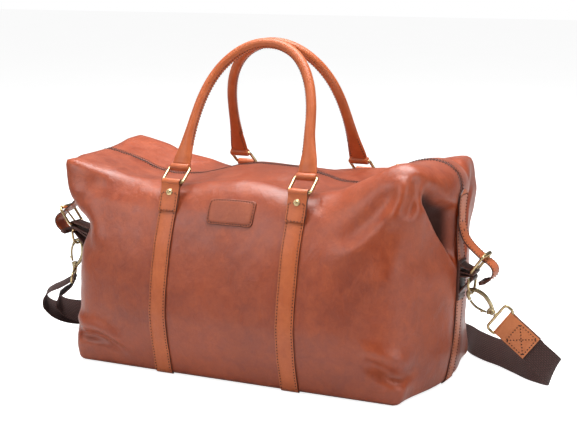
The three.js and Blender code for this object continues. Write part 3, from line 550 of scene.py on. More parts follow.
WEB_RIGHT = [
    (402, 0, 58, 0.613, 0.03, 0.79),
    (413, 4, 47, 0.56, 0.1, 0.82),
    (420, 13, 36, 0.46, 0.12, 0.88),
    (420, 25, 28, 0.36, 0.12, 0.92),
    (412, 37, 23, 0.25, 0.15, 0.95),
    (398, 48, 20.5, 0.1, 0.2, 0.97),
    (376, 62, 20, 0, 0.35, 0.93),
    (352, 82, 20, -0.05, 0.45, 0.88),
    (325, 104, 20, 0, 0.5, 0.85),
    (296, 122, 20, 0.1, 0.45, 0.88),
    (268, 145, 20, 0.2, 0.3, 0.93),
    (243, 172, 20, 0.1, 0.15, 0.98),
    (200, 192, 20, 0, 0.1, 1),
    (130, 200, 20, 0, 0.1, 1),
    (40, 202, 20, 0, 0.1, 1),
    (-60, 202, 21, 0, 0.05, 1),
    (-130, 198, 22.9, 0, 0, 1),
]
WEB_LEFT = [
    (-226, 180, 22.9, 0, 0, 1),
    (-268, 152, 21, -0.1, 0.1, 1),
    (-300, 108, 20.5, -0.1, 0.1, 0.98),
    (-325, 64, 20.5, -0.15, 0.15, 0.96),
    (-348, 32, 21, -0.25, 0.3, 0.9),
    (-370, 8, 24, -0.35, 0.55, 0.75),
    (-386, -10, 32, -0.4, 0.75, 0.5),
    (-393, -22, 45, -0.43, 0.85, 0.25),
    (-387, -29, 60, -0.45, 0.88, 0.1),
    (-374, -30, 72, -0.45, 0.888, 0.05),
    (-357, -26.5, 80.5, -0.45, 0.888, 0.09),
]
RETURN_LEFT = [
    (-225.2, 177.4, 22.9, 0, 0, 1),
    (-265.8, 149.9, 21, -0.1, 0.1, 1),
    (-297.4, 106.6, 20.5, -0.1, 0.1, 0.98),
    (-322.6, 62.4, 20.5, -0.15, 0.15, 0.96),
    (-345, 30.6, 23, -0.25, 0.3, 0.9),
    (-362, 9, 29, -0.35, 0.55, 0.75),
    (-372, -6, 38, -0.4, 0.75, 0.5),
    (-373, -16, 50, -0.43, 0.85, 0.25),
    (-363, -21, 63, -0.45, 0.88, 0.1),
    (-349, -21.5, 74, -0.45, 0.888, 0.092),
    (-340.5, -19.5, 82, -0.45, 0.888, 0.092),
]
SLIDE_AT = np.array([-180, 190, 22.9])
SLIDE_ALONG = unit([-0.985, -0.174, 0])
SLIDE_OUT = unit([-0.174, 0.985, 0])
WEAVE = [(-20, 0), (-12, -3.1), (-6, 1.6), (0, 5.6), (6, 1.6), (12, -3.1), (20, 0)]
RETURN_WEAVE = [(3.6, -1.4), (8, -5.2), (12, -6.4), (20, -4)]
WEB_HALF = 19.0
WEB_THICK = 1.7
LOOP_NEAR = 1.5
LOOP_FAR = 16.5


def on_slide(pairs):
    """Places on the webbing given along and out from the middle of the slide."""
    return [tuple(SLIDE_AT + a * SLIDE_ALONG + b * SLIDE_OUT) + (0, 0, 1) for a, b in pairs]


def wrap_round_loop():
    """The webbing's turn round the far bar of the left loop."""
    at, way, wide = hook_place("left")
    bar = at + LOOP_FAR * way
    side = unit(np.cross(way, wide))
    side = -side if side[0] > 0 else side
    out = []
    for degrees in (0, 45, 90, 135, 180):
        turn = math.radians(degrees)
        out.append(tuple(bar + 3 * (side * math.cos(turn) - way * math.sin(turn))) + tuple(wide))
    return out


right_at, right_way, right_wide = hook_place("right")
tab_line = [tuple(right_at + right_way * s) + tuple(right_wide) for s in (28, 40, 54, 67)]
main_web = tab_line + WEB_RIGHT + on_slide(WEAVE) + WEB_LEFT + wrap_round_loop()
return_web = on_slide(RETURN_WEAVE) + RETURN_LEFT


def web_piece(name, stations, node):
    dense = curve_through(stations, 6)
    verts, faces, _, uvs = strip(dense[:, :3], dense[:, 3:], WEB_HALF, WEB_THICK, 0.75)
    piece = Heap().add(verts, faces, 0, uvs).make(name, "webbing", node)
    length = float(np.sum(np.linalg.norm(np.diff(dense[:, :3], axis=0), axis=1))) * MM
    return piece, [tuple(p) for p in (dense[:, :3] * MM).tolist()], length


webbing, webbing_path, webbing_length = web_piece("shoulder_strap_webbing", main_web, "shoulder_webbing")
returning, return_path, return_length = web_piece(
    "shoulder_strap_return", return_web, "shoulder_webbing_return",
)


def loop_wire(centre, across, rise, half, radius, wire, steps=5):
    """A rectangular ring of wire. centre is the middle of its low bar."""
    c, a, r = np.asarray(centre, float), np.asarray(across, float) * half, np.asarray(rise, float)
    line = rounded_loop([c - a, c + a, c + a + r, c - a + r], radius, steps)
    return tube(line, wire, 14, closed=True)


def hook_oval(place, start, stop, steps):
    """Part of the hook's egg-shaped outline, between two turns in radians."""
    at, way, _ = place
    side = unit(np.cross([0, 1.0, 0], way))
    turn = np.linspace(start, stop, steps)
    along = -28 + 21 * np.cos(turn)
    across = 10.5 * np.sin(turn) * (1 - 0.25 * np.maximum(0, np.cos(turn)))
    return at + along[:, None] * way + across[:, None] * side


def snap_hook(end):
    """A swivel hook with its post, its gate with a knob, and the loop the strap goes through."""
    place = hook_place(end)
    at, way, wide = place
    line = hook_oval(place, 2.15, 2 * math.pi + 0.63, 54)
    share = np.linspace(0, 1, len(line))
    thick = 2.3 + 0.6 * np.sin(share * math.pi) + 0.5 * smoothstep(share, 0.75, 1)
    body = Heap().add(*tube(line, thick, 16))
    post = [(2.4, -13), (3.6, -12.4), (3.9, -10.5), (3.2, -9.4), (3.2, -8.4)]
    post += [(4.1, -7.6), (4.4, -5.2), (3.9, -3.6), (2.8, -2.6)]
    body.add(*turned_profile(at, way, post))
    body.make(f"{end}_snap_hook", "old_brass", f"{end}_hook_body", f"{end}_hook")
    gate_line = hook_oval(place, 0.72, 2.12, 18)
    gate = Heap().add(*tube(gate_line, 1.7, 12))
    thumb = gate_line[5]
    outward = unit(thumb - (at - 28 * way))
    knob = [(1.5, 0), (1.6, 1.2), (1.2, 2.2), (0.4, 2.6)]
    gate.add(*turned_profile(thumb + outward * 1.2, outward, knob, 14))
    gate.make(f"{end}_snap_gate", "old_brass", f"{end}_hook_gate", f"{end}_hook_gate_body")
    ring = Heap().add(*loop_wire(at + LOOP_NEAR * way, wide, way * (LOOP_FAR - LOOP_NEAR), 21.6, 5.0, 2.0))
    ring.add(*turned_profile(at, way, [(2.2, -2.0), (3.1, -1.6), (3.3, 0), (3.1, 2.0), (2.2, 2.6)]))
    ring.make(f"{end}_strap_loop", "brass", f"{end}_hook_loop")


def strap_tab():
    """Leather folded round the right loop and sewn over the webbing's end."""
    at, way, wide = hook_place("right")
    bar = at + LOOP_FAR * way
    normal = unit(np.cross(wide, way))
    flat, bend = 2.05, 2.95
    line = [bar + way * s + normal * flat for s in np.linspace(50, 8, 15)]
    for degrees in range(70, 291, 20):
        turn = math.radians(degrees)
        line.append(bar + bend * (normal * math.sin(turn) + way * math.cos(turn)))
    line += [bar + way * s - normal * flat for s in np.linspace(8, 50, 15)]
    tab = Heap().add(*strip(line, wide, 19.2, 1.7))
    sewing = Heap()
    for side in (1, -1):
        face = normal * side
        level = bar + face * (flat + 0.85)
        near_left, far_left, far_right, near_right = (
            level + way * s + wide * w for s, w in ((17, -15.5), (47, -15.5), (47, 15.5), (17, 15.5))
        )
        box = [(near_left, far_left), (far_left, far_right), (far_right, near_right), (near_right, near_left)]
        for a, b in box + [(near_left, far_right), (far_left, near_right)]:
            stitches(sewing, np.linspace(a, b, 8), face)
    piece = tab.make("strap_end_leather", "tab", "strap_end_tab")
    return [piece, sewing.make("strap_end_stitching", "tab_thread")]


def strap_slider():
    """The slide: a ring of wire with a middle bar."""
    up = np.array([0, 0, 1.0])
    low = SLIDE_AT - 12 * SLIDE_ALONG
    ring = Heap().add(*loop_wire(low, up, 24 * SLIDE_ALONG, 21.3, 3.5, 1.6))
    ring.add(*turned_profile(SLIDE_AT, up, [(1.5, -21.3), (1.6, -20), (1.6, 20), (1.5, 21.3)], 14))
    return ring.make("strap_slide_ring", "brass", "strap_slide")


snap_hook("right")
snap_hook("left")
tab_pieces = strap_tab()
slide_ring = strap_slider()


# ---------------------------------------------------------------- the bag's shell
# The plain box: half length, half depth and height, and where each way's flat part ends and its edges begin.
LENGTH, DEPTH, HEIGHT = 260.0, 140.0, 300.0
FLAT_X, FLAT_Y, FLAT_LOW, FLAT_HIGH = 230, 110, 8, 262
EDGE, TOP_EDGE = 30, 38
# Each table gives a measure against x or z. Half depth of the body, at its middle and towards its ends:
FACE_Z = [0, 8, 16, 50, 90, 130, 170, 200, 230, 252, 269, 300]
FACE_MIDDLE = soft_table(FACE_Z, [140, 142, 144, 153, 158, 154, 145, 137, 127, 120, 113, 104], 7)
FACE_END = soft_table(FACE_Z, [140, 140, 140, 142, 142, 140, 136, 130, 122, 116, 110, 104], 7)
TOWARDS_END = soft_table([0, 115, 160, 200, 230, 260], [0, 0, 0.15, 0.5, 0.8, 1], 12)
# How far the end walls stand out past the plain box, at their middle and at their corners.
OUT_Z = [0, 16, 50, 90, 130, 168, 190, 201, 219, 250, 284, 300]
OUT_MIDDLE = soft_table(OUT_Z, [14, 20, 25, 28, 31, 32, 31, 30, 30, 30, 33, 30], 6)
OUT_CORNER = {
    "left": soft_table(OUT_Z, [-10, -4, 1, 2, 1, -1, -11, -12, 4, 18, 27, 32], 6),
    "right": soft_table(OUT_Z, [-2, 3, 5, 5, 4, 3, 2, 3, 6, 10, 14, 12], 6),
    "right_back": soft_table(OUT_Z, [-2, 2, 2, 4, 6, 8, 9, 9, 11, 12, 11, 8], 6),
}
# How far the top rises or sags, under the zip and along its front and back edges.
TOP_X = [-260, -245, -230, -200, -160, -115, -85, -50, -20, 0, 45, 85, 115, 150, 190, 222, 245, 260]
middle_rise = [3, -5, -11, -28, -35, -32, -25, -13, -8, -9, -11, -20, -27, -28, -10, 12, 17, 16]
front_rise = [-5, -9, -15, -26, -33, -33, -31, -26, -22, -20, -22, -29, -32, -26, -4, 14, 16, 10]
back_rise = [7, 2, -4, -13, -20, -30, -31, -31, -29, -28, -26, -21, -19, -16, -8, 2, 6, 8]
TOP_MIDDLE = soft_table(TOP_X, middle_rise, 8)
TOP_FRONT, TOP_BACK = soft_table(TOP_X, front_rise, 9), soft_table(TOP_X, back_rise, 9)
# How far each top corner is pulled out and up: side in x, side in y, out, up.
CORNER_PEAKS = [(-1, -1, 4, 3), (-1, 1, 6, 4), (1, -1, 2, 7), (1, 1, 6, 3)]
TOP_SHARE = soft_table([190, 230, 264, 300], [0, 0.12, 0.55, 1], 8)


def bag_shape(grid):
    """From the plain grid of a box to the bag. The box's edges are rounded, then it bulges and sags."""
    g = np.asarray(grid, float)
    x, y, z = g[:, 0], g[:, 1], g[:, 2]
    corner = 12 + 32 * smoothstep(z, 0, 90) * (1 - 0.35 * smoothstep(z, 200, 260))
    flat_x = np.clip(x, -FLAT_X, FLAT_X) * (LENGTH - corner) / FLAT_X
    flat_y = np.clip(y, -FLAT_Y, FLAT_Y) * (DEPTH - corner) / FLAT_Y
    over_x = np.clip((np.abs(x) - FLAT_X) / EDGE, 0, 1)
    over_y = np.clip((np.abs(y) - FLAT_Y) / EDGE, 0, 1)
    over_z = np.clip((z - FLAT_HIGH) / TOP_EDGE, 0, 1) - np.clip((FLAT_LOW - z) / FLAT_LOW, 0, 1)
    flat_z = np.clip(z, FLAT_LOW, FLAT_HIGH)
    over = np.stack([over_x, over_y, np.abs(over_z)], axis=1)
    # The left end's top edge and the right end's back corner are creased, the other edges are round.
    creased = smoothstep(-x, 205, 245) + smoothstep(x, 225, 250) * smoothstep(y, 50, 100)
    power = (2 + 5 * np.clip(creased, 0, 1) * smoothstep(z, 200, 262))[:, None]
    size = np.sum(np.maximum(over, 1e-9) ** power, axis=1, keepdims=True) ** (1 / power)
    over /= np.maximum(size, 1e-9)
    x = flat_x + np.sign(x) * corner * over[:, 0]
    y = flat_y + np.sign(y) * corner * over[:, 1]
    z = flat_z + np.where(over_z > 0, TOP_EDGE, FLAT_LOW) * np.sign(over_z) * over[:, 2]
    far = np.abs(x)
    end = TOWARDS_END(far)
    depth = FACE_MIDDLE(z) * (1 - end) + FACE_END(z) * end
    middle = 1 - smoothstep(np.abs(y), 20, 125)
    right = np.where(y < 0, OUT_CORNER["right"](z), OUT_CORNER["right_back"](z))
    low = np.where(x > 0, right, OUT_CORNER["left"](z))
    out = low * (1 - middle) + OUT_MIDDLE(z) * middle
    share = smoothstep(far, 205, 262)
    sideways = smoothstep(np.abs(y), 8, 115)
    edge = np.where(y < 0, TOP_FRONT(x), TOP_BACK(x))
    rise = (TOP_MIDDLE(x) * (1 - sideways) + edge * sideways) * TOP_SHARE(z)
    shaped = np.stack([x + np.sign(x) * out * share, y * depth / DEPTH, z + rise], axis=1)
    for side_x, side_y, reach, climb in CORNER_PEAKS:
        near = ((x - side_x * 252) / 26) ** 2 + ((y - side_y * 112) / 30) ** 2
        pull = np.exp(-0.5 * near) * smoothstep(z, 215, 285)
        shaped += pull[:, None] * np.array([side_x * reach, side_y * reach * 0.5, climb])
    return shaped


def grid_lines(flat, step, lines_in_edge=5):
    """Grid lines along one way of the box: even where it is flat, by angle over the rounded edge."""
    inner = np.linspace(0, flat, int(round(flat / step)) + 1)
    edge = flat + EDGE * np.tan(np.linspace(0, math.pi / 4, lines_in_edge + 1))[1:]
    half = np.concatenate([inner, edge])
    return np.concatenate([-half[:0:-1], half])


# The zip's opening: its half width, and how far down each end wall it reaches.
ZIP_GAP, ZIP_END = 2.3, 238
LINES_X = grid_lines(FLAT_X, 5.5)
LINES_Y = np.concatenate([[-140, -134, -128, -122.5, -116], -np.arange(110, 6, -2.2), [-ZIP_GAP], [0]])
LINES_Y = np.concatenate([LINES_Y, -LINES_Y[-2::-1]])
over_edge = FLAT_HIGH + TOP_EDGE * np.tan(np.linspace(0, math.pi / 4, 7))[1:]
LINES_Z = np.concatenate([[0, 3, 5.5, FLAT_LOW], np.linspace(12, FLAT_HIGH, 104), over_edge])


SHEET_LINES = {"face": (LINES_X, LINES_Z), "end": (LINES_Y, LINES_Z), "top": (LINES_X, LINES_Y)}


def box_sheet(kind, sign):
    """One side of the box as a grid of points with faces turned outwards."""
    a, b = np.meshgrid(*SHEET_LINES[kind], indexing="ij")
    if kind == "face":
        points = [a, np.full_like(a, sign * DEPTH), b]
    elif kind == "end":
        points = [np.full_like(a, sign * LENGTH), a, b]
    else:
        points = [a, b, np.full_like(a, HEIGHT if sign > 0 else 0.0)]
    flip = sign > 0 if kind == "face" else sign < 0
    n, m = a.shape
    index = np.arange(n * m).reshape(n, m)
    quads = np.stack([index[:-1, :-1], index[1:, :-1], index[1:, 1:], index[:-1, 1:]], axis=2).reshape(-1, 4)
    return np.stack(points, axis=2).reshape(-1, 3), quads[:, ::-1] if flip else quads


def joined_box():
    """The box's sides, top and bottom, sewn along their common lines."""
    verts, quads, count = [], [], 0
    for kind, sign in (("face", -1), ("face", 1), ("end", -1), ("end", 1), ("top", 1), ("top", -1)):
        v, q = box_sheet(kind, sign)
        verts.append(v)
        quads.append(q + count)
        count += len(v)
    verts, quads = np.concatenate(verts), np.concatenate(quads)
    keys = np.round(verts, 3)
    _, first, where = np.unique(keys, axis=0, return_index=True, return_inverse=True)
    return verts[first], where.ravel()[quads]


def point_normals(verts, quads):
    """The way out at each point, from the faces round it."""
    a, b, c, d = (verts[quads[:, i]] for i in range(4))
    face = np.cross(c - a, d - b)
    total = np.zeros_like(verts)
    for i in range(4):
        np.add.at(total, quads[:, i], face)
    return unit(total)


def line_distance(p, line):
    """How far each point is from a line of points, and where along it the nearest place is, 0 to 1."""
    line = np.asarray(line, float)
    best = np.full(len(p), 1e9)
    place = np.zeros(len(p))
    for i in range(len(line) - 1):
        a, d = line[i], line[i + 1] - line[i]
        t = np.clip((p - a) @ d / max(d @ d, 1e-9), 0, 1)
        r = np.linalg.norm(p - a - t[:, None] * d, axis=1)
        nearer = r < best
        best = np.where(nearer, r, best)
        place = np.where(nearer, (i + t) / (len(line) - 1), place)
    return best, place


# How deep each end wall is drawn in: by its side in x and in y.
HOLLOW_DEPTH = {(1, -1): 36, (1, 1): 9, (-1, -1): 30, (-1, 1): 22}


def hollow(p, side_x, side_y, depth):
    """The end wall drawn in under the zip's tongue, between the corner's ear and the end strap."""
    y, z = p[:, 1] * side_y, p[:, 2]
    front = np.interp(z, [150, 162, 205, 240, 270, 300], [6, 14, 44, 70, 92, 98])
    roof = np.interp(y, [10, 45, 92], [250, 262, 292])
    across = smoothstep(front - y, 0, 13) * smoothstep(y, 8, 24)
    share = across * smoothstep(roof - z, 0, 8) * smoothstep(z, 148, 205)
    return depth * share * smoothstep(p[:, 0] * side_x, 215, 250)


# Folds in the leather: a line of points, half width, height. A dip is negative. The last seven are behind.
FOLDS = [
    ([(262, -118, 292), (250, -122, 268), (222, -132, 240), (190, -140, 208), (158, -147, 182)], 10, 5.5),
    ([(240, -112, 292), (222, -124, 262), (196, -134, 236), (168, -142, 212)], 11, -5.0),
    ([(272, -112, 270), (262, -128, 226), (248, -142, 184), (232, -148, 130)], 14, 4.0),
    ([(268, -98, 306), (269, -107, 288), (265, -114, 268), (256, -122, 244)], 6.5, -17.0),
    ([(253, -102, 306), (251, -112, 284), (245, -120, 258), (232, -130, 232)], 7.0, 5.5),
    ([(160, -100, 292), (135, -112, 270), (118, -122, 246)], 12, -3.0),
    ([(-260, -118, 250), (-246, -124, 215), (-232, -138, 178), (-214, -148, 140)], 12, -4.0),
    ([(-250, -128, 246), (-228, -134, 205), (-205, -142, 165)], 12, 3.0),
    ([(-252, -118, 72), (-236, -138, 60), (-205, -148, 57), (-178, -151, 46), (-158, -152, 28)], 7, 5.0),
    ([(-256, -118, 54), (-238, -138, 44), (-210, -147, 41), (-186, -150, 34), (-166, -152, 20),
      (-160, -152, 6)], 5.5, -8.5),
    ([(-250, -126, 28), (-226, -140, 24), (-200, -148, 20)], 8, 3.5),
    ([(205, -150, 62), (240, -146, 48), (264, -132, 40), (280, -108, 40), (286, -82, 50)], 8, -9.5),
    ([(215, -150, 34), (250, -143, 24), (272, -122, 22), (282, -92, 26)], 8, 5.0),
    ([(200, -152, 80), (238, -147, 68), (264, -134, 62), (278, -112, 64)], 8, 5.0),
    ([(30, -60, 285), (80, -78, 276), (130, -84, 272)], 10, -2.5),
    ([(-60, -70, 282), (-110, -84, 270), (-170, -84, 268)], 10, -3.0),
    ([(-250, -112, 262), (-200, -112, 264), (-150, -116, 262)], 12, -3.5),
    ([(262, 118, 285), (246, 126, 258), (218, 134, 226), (186, 142, 196)], 12, 5.0),
    ([(236, 120, 280), (208, 128, 250), (176, 138, 220)], 12, -4.5),
    ([(-262, 118, 285), (-246, 126, 252), (-214, 134, 216), (-180, 142, 190)], 12, 5.0),
    ([(-236, 120, 280), (-206, 128, 246), (-172, 138, 214)], 12, -4.5),
    ([(-235, 142, 50), (-200, 150, 42), (-170, 150, 20)], 10, 3.5),
    ([(235, 142, 44), (205, 150, 40), (178, 150, 18)], 10, -4.0),
    ([(-90, 118, 262), (-20, 112, 266), (60, 116, 262)], 14, -3.0),
]


def spread_round(pairs, values, near):
    """For each point, the mean of a value over its neighbours."""
    return np.bincount(pairs[:, 0], weights=values[pairs[:, 1]], minlength=len(values)) / near


def add_waves(push, verts, count, height, short, long):
    """Faint waves of random ways and lengths, added to push."""
    for _ in range(count):
        way = unit([random.uniform(-1, 1) for _ in range(3)])
        push += height * np.sin(verts @ way / random.uniform(short, long) + random.uniform(0, 6.3))


def crumpled(verts, quads):
    """The bag with its folds, waves and drawn-in ends, and how deep in a hollow each point lies."""
    normals = point_normals(verts, quads)
    push = np.zeros(len(verts))
    for line, width, height in FOLDS:
        r, place = line_distance(verts, curve_through(line, 5))
        ends = smoothstep(place, 0, 0.16) * (1 - smoothstep(place, 0.72, 1))
        push += height * np.exp(-0.5 * (r / width) ** 2) * ends
    add_waves(push, verts, 14, 0.2, 8, 21)
    add_waves(push, verts, 22, 0.03, 2.8, 6)
    push *= smoothstep(verts[:, 2], 4, 40)
    moved = verts + normals * push[:, None]
    sunk = np.zeros(len(verts))
    for (side_x, side_y), depth in HOLLOW_DEPTH.items():
        dip = hollow(moved, side_x, side_y, depth)
        moved[:, 0] -= side_x * dip
        sunk = np.maximum(sunk, dip)
    # The leather in and round each hollow is drawn smooth.
    pairs = np.concatenate([quads[:, [0, 1]], quads[:, [1, 2]], quads[:, [2, 3]], quads[:, [3, 0]]])
    pairs = np.concatenate([pairs, pairs[:, ::-1]])
    near = np.bincount(pairs[:, 0], minlength=len(verts)).astype(float)
    share = smoothstep(sunk, 0.0, 3.0)
    for _ in range(6):
        share = np.maximum(share, 0.92 * spread_round(pairs, share, near))
    pairs = pairs[share[pairs[:, 0]] > 0.01]
    near = np.maximum(np.bincount(pairs[:, 0], minlength=len(verts)), 1)
    for _ in range(36):
        for axis in range(3):
            around = spread_round(pairs, moved[:, axis], near)
            moved[:, axis] += 0.6 * share * (around - moved[:, axis]) * (share > 0.01)
        # The depth that sets the painted shade is smoothed along with the leather.
        around = spread_round(pairs, sunk, near)
        sunk = np.where(share > 0.01, sunk + 0.5 * (around - sunk), sunk)
    return moved, sunk


grid_verts, grid_quads = joined_box()
shell_verts, shell_sunk = crumpled(bag_shape(grid_verts), grid_quads)
shell_normals = point_normals(shell_verts, grid_quads)
grid_middles = grid_verts[grid_quads].mean(axis=1)


def zip_opening(half_width, end):
    """Which faces of the plain box lie in a slot along the top and down both end walls."""
    x, y, z = grid_middles.T
    on_top = (z > HEIGHT - 1) | ((np.abs(x) > LENGTH - 1) & (z > end))
    return on_top & (np.abs(y) < half_width)


def two_plies(keep, outside, inside):
    """Part of the shell as two skins, set in by their depths, and the edges between them."""
    used, where = np.unique(grid_quads[keep], return_inverse=True)
    quads = where.reshape(-1, 4)
    plies = [shell_verts[used] - shell_normals[used] * depth for depth in (outside, inside)]
    edges = {(a, b): 1 for q in quads for a, b in zip(q, np.roll(q, -1))}
    n = len(used)
    rim = [(b, a, a + n, b + n) for a, b in edges if (b, a) not in edges]
    return plies, quads.tolist() + (quads[:, ::-1] + n).tolist() + rim, len(quads), used


def half_shell(name, side, node):
    """One leather panel: its outer skin, its inner skin and the painted edges between them."""
    x, y, z = grid_middles.T
    bottom = (z < 0.5) & (np.abs(x) < 212) & (np.abs(y) < 97)
    keep = (y * side > 0) & ~zip_opening(ZIP_GAP, ZIP_END) & ~bottom
    plies, faces, count, used = two_plies(keep, 0, 2.2)
    marks = [0] * count + [1] * count + [2] * (len(faces) - 2 * count)
    verts = np.concatenate(plies)
    piece = made(name, verts, faces, "shell", node, uvs=verts[:, [0, 2]] * MM, marks=marks)
    # Painted shade: how deep each point lies in a hollow, handed to the leather as a texture layer that darkens
    # it there.
    shade = np.tile(smoothstep(shell_sunk[used], 10, 24), 2)
    add_uvs(piece.data, "hollows", np.stack([shade, shade], axis=1))


half_shell("front_leather", -1, "front_panel")
half_shell("back_leather", 1, "back_panel")


# ---------------------------------------------------------------- places on the shell
class Side:
    """One side of the finished bag, read by its place on the plain box."""

    def __init__(self, kind, sign):
        self.a, self.b = SHEET_LINES[kind]
        points, _ = box_sheet(kind, sign)
        keys = {tuple(k): i for i, k in enumerate(np.round(grid_verts, 3).tolist())}
        index = np.array([keys[tuple(k)] for k in np.round(points, 3).tolist()])
        self.points = shell_verts[index].reshape(len(self.a), len(self.b), 3)
        self.normals = shell_normals[index].reshape(len(self.a), len(self.b), 3)

    def at(self, a, b, lift=0.0):
        """Points and ways out at box places a, b, lifted off the leather."""
        a, b = np.broadcast_arrays(np.asarray(a, float), np.asarray(b, float))
        i = np.clip(np.searchsorted(self.a, a) - 1, 0, len(self.a) - 2)
        j = np.clip(np.searchsorted(self.b, b) - 1, 0, len(self.b) - 2)
        s = np.clip((a - self.a[i]) / (self.a[i + 1] - self.a[i]), 0, 1)[..., None]
        t = np.clip((b - self.b[j]) / (self.b[j + 1] - self.b[j]), 0, 1)[..., None]

        def blend(g):
            low = g[i, j] * (1 - s) + g[i + 1, j] * s
            high = g[i, j + 1] * (1 - s) + g[i + 1, j + 1] * s
            return low * (1 - t) + high * t

        normal = unit(blend(self.normals))
        return blend(self.points) + normal * np.asarray(lift, float)[..., None], normal


FACES = {side: Side("face", side) for side in (-1, 1)}
ENDS = {"right": Side("end", 1), "left": Side("end", -1)}
TOP = Side("top", 1)


def down_face(face, x, z, lift):
    """Points down a face that keep one x, though the leather drifts."""
    place = np.full(len(z), float(x))
    for _ in range(4):
        at, normal = face.at(place, z, lift)
        place = place + x - at[:, 0]
    return at, normal


def laid_strip(heap, points, normals, across, half, thick, edge=0.6):
    """A strip lying on the leather: each point is on its middle line, half its thickness up."""
    way = unit(np.gradient(points, axis=0))
    wide = unit(np.cross(normals, way))
    wide *= np.sign(np.sum(wide * np.asarray(across), axis=1, keepdims=True))
    heap.add(*strip(points, wide, half, thick, edge))
    return wide


def body_strap(name, side, x, node):
    """A strap sewn down one face, from under the ring's leather to the bottom edge."""
    z = np.concatenate([np.linspace(258, 14, 60), [11, 8, 6, 4.2, 2.5, 0]])
    at, normal = down_face(FACES[side], x, z, 1.2)
    heap = Heap()
    wide = laid_strip(heap, at, normal, (1, 0, 0), 13.8, 2.3)
    heap.make(name, "strap", node)
    rows = Heap()
    two_rows(rows, at[:-3], wide[:-3], outwards(at, wide, normal)[:-3], 11.2, 1.2, WIDE_STITCH)
    rows.make(name + "_stitching", "thread")


for side_name, side in (("front", -1), ("back", 1)):
    for end_name, end in (("left", -1), ("right", 1)):
        body_strap(f"{side_name}_{end_name}_strap_leather", side, end * 100, f"{side_name}_{end_name}_strap")


def label(centre_x, centre_z, half_x, half_z, corner):
    """The sewn patch: rings of one rounded outline, laid on the leather."""
    outline = rounded_section(half_x, 2 * half_z, corner, 5)
    outline = evenly(np.vstack([outline, outline[:1]]), 2.0)[:-1]
    half = np.array([half_x, half_z])
    face = FACES[-1]
    # Each ring's share of the outline and its height: the edge, the pressed line inside it, then the middle.
    border = [(1.0, 0.15), (1.0, 1.35), (0.985, 1.75), (0.93, 1.95), (0.905, 1.62), (0.88, 1.62)]
    border += [(0.855, 1.95), (0.7, 1.95)]
    rings = [(outline * (1 - (1 - share) * half_z / half), lift) for share, lift in border]
    rings += [(outline * share, 1.95) for share in (0.5, 0.3, 0.12, 0.02)]
    places = [face.at(centre_x + ring[:, 0], centre_z + ring[:, 1], lift)[0] for ring, lift in rings]
    verts, faces = skin(places)
    side_faces = 2 * len(outline)
    patch = Heap().add(verts, faces, [1] * side_faces + [0] * (len(faces) - side_faces))
    patch.make("label_leather", "label", "label_patch")
    inset = outline * (1 - 2.4 / half)
    inset = np.vstack([inset, inset[:1]])
    rows = Heap()
    stitches(rows, *face.at(centre_x + inset[:, 0], centre_z + inset[:, 1], 1.75))
    rows.make("label_stitching", "thread")


label(0, 246, 37, 22, 6)


# ---------------------------------------------------------------- zip
def zip_path(y, lift):
    """The line over the bag's top at box place y, from the left zip end to the right one."""
    rise = np.concatenate([np.linspace(ZIP_END - 4, 262, 7), LINES_Z[-6:-1]])
    beside = np.full(len(rise), y)
    left = ENDS["left"].at(beside, rise, lift)
    over = TOP.at(LINES_X, np.full(len(LINES_X), y), lift)
    right = ENDS["right"].at(beside, rise[::-1], lift)
    return np.vstack([np.hstack(run) for run in (left, over, right)])


def zip_tape(name, sign, node):
    """The cloth along one side of the teeth."""
    corners = [(1.4, -2.9), (9, -2.9), (15, -2.9), (15, -3.6), (9, -3.6), (1.4, -3.6)]
    sections = np.stack([zip_path(y * sign, lift)[:, :3] for y, lift in corners], axis=1)
    Heap().add(*skin(sections[:, ::sign])).make(name, "tape", node)


zip_tape("front_zip_tape", -1, "zip_tape_front")
zip_tape("back_zip_tape", 1, "zip_tape_back")


def zip_teeth():
    path = evenly(zip_path(0, -1.7), 1.5)
    way = unit(np.gradient(path[:, :3], axis=0))
    turn = np.pi / 3 * np.arange(6)
    cos, sin = np.cos(turn)[:, None], np.sin(turn)[:, None]
    heap = Heap()
    for k, (row, t) in enumerate(zip(path, way)):
        n = unit(row[3:])
        side = np.cross(n, t) * (1 if k % 2 else -1)
        ring = 0.85 * cos * t + 0.95 * sin * n
        sizes = ((1.9, 0.75), (1.2, 1.0), (-0.3, 1.0), (-0.9, 0.6))
        heap.add(*skin([row[:3] + side * across + size * ring for across, size in sizes]))
    heap.make("zip_teeth", "teeth", "zip_chain")


zip_teeth()


def zip_stitching():
    rows = Heap()
    for y, stop in ((-8.5, 4), (8.5, 4), (-3.6, 2), (3.6, 2)):
        path = zip_path(y, 0.0)[stop:-stop]
        stitches(rows, path[:, :3], path[:, 3:], ZIP_STITCH)
    rows.make("zip_stitching", "zip_thread")


zip_stitching()

ZIP_FOOT = np.array([200, 0, 294.86])
ZIP_WAY = unit([0.8683, 0, 0.496])
ZIP_UP = np.array([-ZIP_WAY[2], 0, ZIP_WAY[0]])


def on_zip(along, across, up):
    """A place by the slider: along the zip, across it and up from it."""
    return ZIP_FOOT + ZIP_WAY * along + np.array([0, across, 0]) + ZIP_UP * up


def plate(rows, level, thick, edge=0.5, tilt=0.0):
    """A flat metal plate over an outline of along, across pairs. tilt lifts its far end."""
    rings = []
    rows = np.array(rows)
    outwards_from = np.sign(rows - np.mean(rows, axis=0))
    for shrink, up in ((edge, 0), (0, edge), (0, thick - edge), (edge, thick)):
        inset = rows - outwards_from * shrink
        rings.append(np.array([on_zip(a, b, level + up - tilt * (a + 6)) for a, b in inset]))
    return skin(rings)


